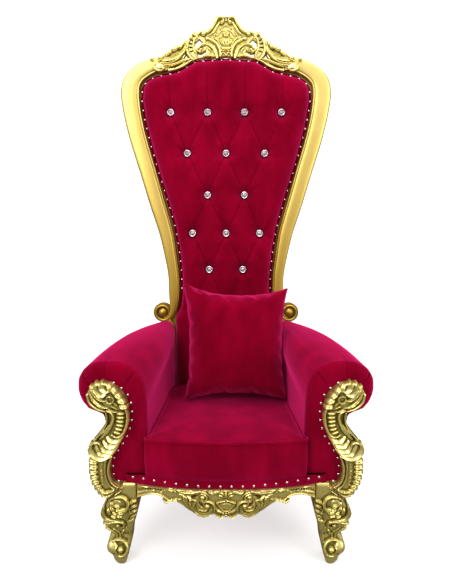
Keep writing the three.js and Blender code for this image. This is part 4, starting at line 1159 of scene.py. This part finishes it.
def pad_folds():
    """Folds of the buttoning: start, end, depth at the start and at the end, and width of the valley."""
    folds = []
    for (height, *spots), (lower, *lower_spots) in zip(BUTTON_ROWS, BUTTON_ROWS[1:]):
        for a in button_row(spots):
            near = [b for b in button_row(lower_spots) if abs(a - b) < 100]
            folds += [((a, height), (b, lower), 1, 1, 26) for b in near]
    for x, top in ((71, 1672), (213, 1622)):
        folds += [((sign * x, 1472), (sign * (x + 4), top), 1.2, 0.7, 20) for sign in (1, -1)]
    random = np.random.default_rng(21)
    for height, *spots in BUTTON_ROWS:
        for x in button_row(spots):
            outer = abs(x) == max(spots) and abs(x) > 100
            for angle in (25, 70, 115, 160, 205, 245, 295, 335):
                turn = math.radians(angle + random.uniform(-14, 14))
                length = random.uniform(28, 50)
                away = outer and x * math.cos(turn) > 0
                if away:
                    length += 26
                end = x + length * math.cos(turn), height + length * math.sin(turn)
                folds.append(((x, height), end, 1.7 if away else 0.85, 0, 7))
    return folds


def make_back_pad():
    outline = [*PAD_EDGE, *across(PAD_EDGE)[:-1]]
    relief = Relief([outline], 2.7, margin=6)
    x, y = relief.x, relief.y
    border = 12 * np.clip((y - 690) / 40, 0, 1)
    rise = np.clip((relief.depth_in - border) / 48, 0, 1)
    crown = 41 * (1 - (1 - rise) ** 2.4) ** (1 / 1.9)
    level = np.ones(x.shape)
    crease = np.zeros(x.shape)
    for (x0, y0), (x1, y1), first, last, width in pad_folds():
        dx, dy = x1 - x0, y1 - y0
        t = np.clip(((x - x0) * dx + (y - y0) * dy) / (dx * dx + dy * dy), 0, 1)
        gap = np.hypot(x - x0 - t * dx, y - y0 - t * dy)
        depth = first + (last - first) * t
        depth = depth * (1 - 0.35 * np.sin(math.pi * t))
        level = np.minimum(level, 1 - 0.17 * depth * np.exp(-((gap / width) ** 2)))
        crease = np.maximum(crease, depth * np.exp(-((gap / 4) ** 1.2)))
    for height, *spots in BUTTON_ROWS:
        for spot in button_row(spots):
            gap = np.maximum(np.hypot(x - spot, y - height) - 10, 0)
            level = np.minimum(level, 0.46 + 0.54 * (1 - np.exp(-((gap / 21) ** 1.1))))
            crease *= np.clip(np.hypot(x - spot, y - height) / 14, 0, 1)
    relief.level = np.where(relief.depth_in < border, -12, -11 + (crown + 11) * level - 5.5 * crease)
    relief.tool_marks(2.1, 15)
    points, faces, painted_shade = relief.form(on_back, -21.6, flat_rear=True)
    made = new_piece("back_pad_velvet", [(points, faces)], crimson_velvet, sharp=75)
    # Painted shade in the creases, by the buttons and at the foot of the crown, at six tenths strength
    store_painted_shade(made, 0.6 * painted_shade)
    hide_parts("back_pad")


make_back_pad()


# Back panel
# The rear of the back is closed by a flat velvet panel with a rounded edge.
def make_back_panel():
    half = [
        (0, 1655), (240, 1650), (330, 1608), (352, 1560), (350, 1513), (318, 1361), (251, 1132),
        (200, 931), (189, 860), (194, 700), (240, 655), (240, 310),
    ]
    outline = [*half, *across(half)[:-1]]
    ring = eased(dense(outline, 6), 3)
    rings = []
    for inset, level in [(0, -42.4), (0, -47), (2, -51), (7, -54), (16, -56), (40, -57)]:
        x, y = (ring - outward(ring) * inset).T
        rings.append(on_back(x, y, level))
    made = new_piece("back_panel_velvet", [closed(rings)], crimson_velvet, sharp=60)
    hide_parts("back_panel")


make_back_panel()


# Buttons
# Each button is a cut, foil-backed crystal in a thin silver cup, pulled into the velvet by a cord.
def plain_material(name, colour, metallic, roughness):
    """A smooth material whose tone varies slightly from place to place."""
    material = bpy.data.materials.new(name)
    material.use_nodes = True
    tree = material.node_tree
    shader = tree.nodes["Principled BSDF"]
    shader.inputs["Metallic"].default_value = metallic
    shader.inputs["Roughness"].default_value = roughness
    place = add_node(tree, "ShaderNodeTexCoord")
    spots = {"Vector": place.outputs["Object"], "Scale": 60, "Detail": 2}
    noise = add_node(tree, "ShaderNodeTexNoise", spots)
    tone = add_node(tree, "ShaderNodeMix", {0: noise.outputs[0]}, data_type="RGBA")
    tone.inputs[6].default_value = (*(0.8 * c for c in colour), 1)
    tone.inputs[7].default_value = (*colour, 1)
    tree.links.new(tone.outputs[2], shader.inputs["Base Color"])
    return material


# The stone's greyish pink is painted reflection of the red velvet seen through the clear crystal
crystal = plain_material("crystal", (0.52, 0.40, 0.46), 0.7, 0.05)
silver = plain_material("nail_silver", (0.88, 0.87, 0.85), 1.0, 0.22)


def cut_crystal(x, y, radius, level, place):
    """An eight-sided brilliant: girdle, two rows of kite facets and a flat table."""
    rings = []
    cuts = [(0.96, 0, 0), (1, 0.8, 0.5), (0.8, 3.4, 0), (0.5, 5.2, 0.5), (0.44, 5.4, 0.5)]
    for share, rise, turn in cuts:
        angle = (np.arange(8) + turn) * math.pi / 4
        reach = share * radius
        rings.append(place(x + reach * np.cos(angle), y + reach * np.sin(angle), level + rise))
    return closed(rings)


def make_buttons():
    places = [(x, height) for height, *spots in BUTTON_ROWS for x in button_row(spots)]
    for i, (x, height) in enumerate(places):
        rim = [(11, 17), (12.4, 20), (13.2, 22.4), (12.6, 24.2), (11.2, 25), (9.4, 23.8), (8.8, 22)]
        cup = lathe(rim, x, height, on_back, 24)
        stone = cut_crystal(x, height, 9.2, 21.2, on_back)
        made = new_piece(f"button_crystal_{i + 1:02d}", [cup, stone], [silver, crystal], sharp=9)
        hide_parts(f"back_button_{i + 1:02d}")


make_buttons()


# Upholstery nails
# Domed silver nails hold the velvet along the back's border, the arms' fronts and the seat band.
def nail(points, directions, radius=4.1):
    """Low domes of nails at these places, each facing its direction."""
    forms = []
    for point, direction in zip(points, directions):
        out = Vector(direction).normalized()
        turn = out.to_track_quat("Z", "Y").to_matrix()
        rings = []
        for share, rise in [(1, -0.3), (1, 0.15), (0.86, 0.45), (0.55, 0.68), (0.1, 0.76)]:
            ring = []
            for k in range(12):
                a = k * math.pi / 6
                offset = Vector((share * math.cos(a), share * math.sin(a), rise)) * radius / 1000
                ring.append(list(Vector(point) + turn @ offset))
            rings.append(ring)
        rings = np.array(rings)
        forms.append(closed(rings))
    return forms


def make_nails():
    border = np.array(PAD_EDGE[:-4], float)
    line = spline(border + asides(border) * -6.5, 1)
    if line[0, 1] > PAD_EDGE[0][1]:
        line = spline(border + asides(border) * 6.5, 1)
    facing = on_back(0, 0, 1) - on_back(0, 0, 0)
    arm = [(318, 286), (340, 291), (356, 308), (362, 330), (359, 364), (351, 389), (333, 417), (315, 446)]
    arm += [(302, 480), (295, 512), (294, 542), (298, 575), (311, 601), (329, 618), (348, 632)]
    forms = []
    for side in (1, -1):
        places = [(side * x, y) for x, y in line[18::35]]
        forms += nail([on_back(x, y, -12) for x, y in places], [facing] * len(places))
        places = spline(arm, 1)[29::29]
        forms += nail([upright(side * x, z, 313) for x, z in places], [(0, -1, 0)] * len(places))
    across_seat = np.linspace(-297.5, 297.5, 18)
    height = 303 + 11 * np.clip((np.abs(across_seat) - 60) / 200, 0, 1)
    forms += nail(upright(across_seat, height, band_front(across_seat)), [(0, -1, 0)] * len(across_seat))
    made = new_piece("upholstery_nails", forms, silver, sharp=50)


make_nails()


# Pillow
# A square throw pillow leans back above the seat. Two velvet squares are sewn together and stuffed, so
# its corners stay thin and pointed, its sides are drawn in and its top edge dips between them.
def settled(piece):
    """The piece's mesh as its modifiers leave it."""
    graph = bpy.context.evaluated_depsgraph_get()
    return bpy.data.meshes.new_from_object(piece.evaluated_get(graph), depsgraph=graph)


def coordinates(mesh):
    found = np.empty(3 * len(mesh.vertices), np.float32)
    mesh.vertices.foreach_get("co", found)
    return found.reshape(-1, 3)


def inflate(piece, pressure, cap, voxel=0.005):
    """Blows a padded piece up like stuffed cloth; no point moves farther than the cap."""
    materials = list(piece.data.materials)
    remesh = piece.modifiers.new("even_mesh", "REMESH")
    remesh.voxel_size = voxel
    piece.data = settled(piece)
    piece.modifiers.clear()
    start = coordinates(piece.data)
    cloth = piece.modifiers.new("stuffing", "CLOTH")
    cloth.settings.use_pressure = True
    cloth.settings.uniform_pressure_force = pressure
    cloth.settings.effector_weights.gravity = 0
    cloth.point_cache.frame_start = 1
    cloth.point_cache.frame_end = 20
    for number in range(1, 21):
        scene.frame_set(number)
    moved = coordinates(settled(piece)) - start
    scene.frame_set(1)
    piece.modifiers.clear()
    far = np.linalg.norm(moved, axis=1, keepdims=True)
    moved *= np.minimum(1, cap / np.maximum(far, 1e-9))
    piece.data.vertices.foreach_set("co", (start + moved).ravel())
    piece.modifiers.new("smooth", "SUBSURF").levels = 1
    piece.data = settled(piece)
    piece.modifiers.clear()
    piece.data.materials.clear()
    for material in materials:
        piece.data.materials.append(material)
    piece.data.shade_smooth()


def make_pillow():
    count = 41
    u, v = np.meshgrid(np.linspace(-1, 1, count), np.linspace(-1, 1, count))
    dip = np.where(v > 0, 20, 9) * (1 - u**2)
    x = 35 + u * (194 + 4 * v) * (1 - 0.05 * (1 - v**2))
    y = v * (210 - dip) - 4 * u * (v + 1)
    swell = 62 * ((1 - u**2) * (1 - v**2)) ** 0.45
    pucker = 2.2 * np.sin(23 * u + 3 * v) * np.exp(-(1 - np.abs(v)) / 0.09)
    pucker += 2.2 * np.sin(21 * v + 2 * u) * np.exp(-(1 - np.abs(u)) / 0.09)
    lean = math.radians(16)
    sides = []
    for sign in (1, -1):
        z = sign * (swell + 4) + pucker
        height = 464 + (204 + y) * math.cos(lean) + z * math.sin(lean)
        sides.append(upright(x, height, z * math.cos(lean) - y * math.sin(lean)))
    index = np.arange(2 * count * count).reshape(2, count, count)
    faces = []
    for sheet in index:
        corners = [sheet[:-1, :-1], sheet[:-1, 1:], sheet[1:, 1:], sheet[1:, :-1]]
        faces += np.stack(corners, -1).reshape(-1, 4).tolist()
    last = count - 1
    rim = [(0, j) for j in range(last)] + [(i, last) for i in range(last)]
    rim += [(last, last - j) for j in range(last)] + [(last - i, 0) for i in range(last)]
    for (i, j), (k, m) in zip(rim, rim[1:] + rim[:1]):
        faces.append([int(index[0, k, m]), int(index[0, i, j]), int(index[1, i, j]), int(index[1, k, m])])
    made = new_piece("pillow_velvet", [(np.stack(sides), faces)], crimson_velvet, sharp=70)
    inflate(made, 4, 0.022)
    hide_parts("pillow")


make_pillow()
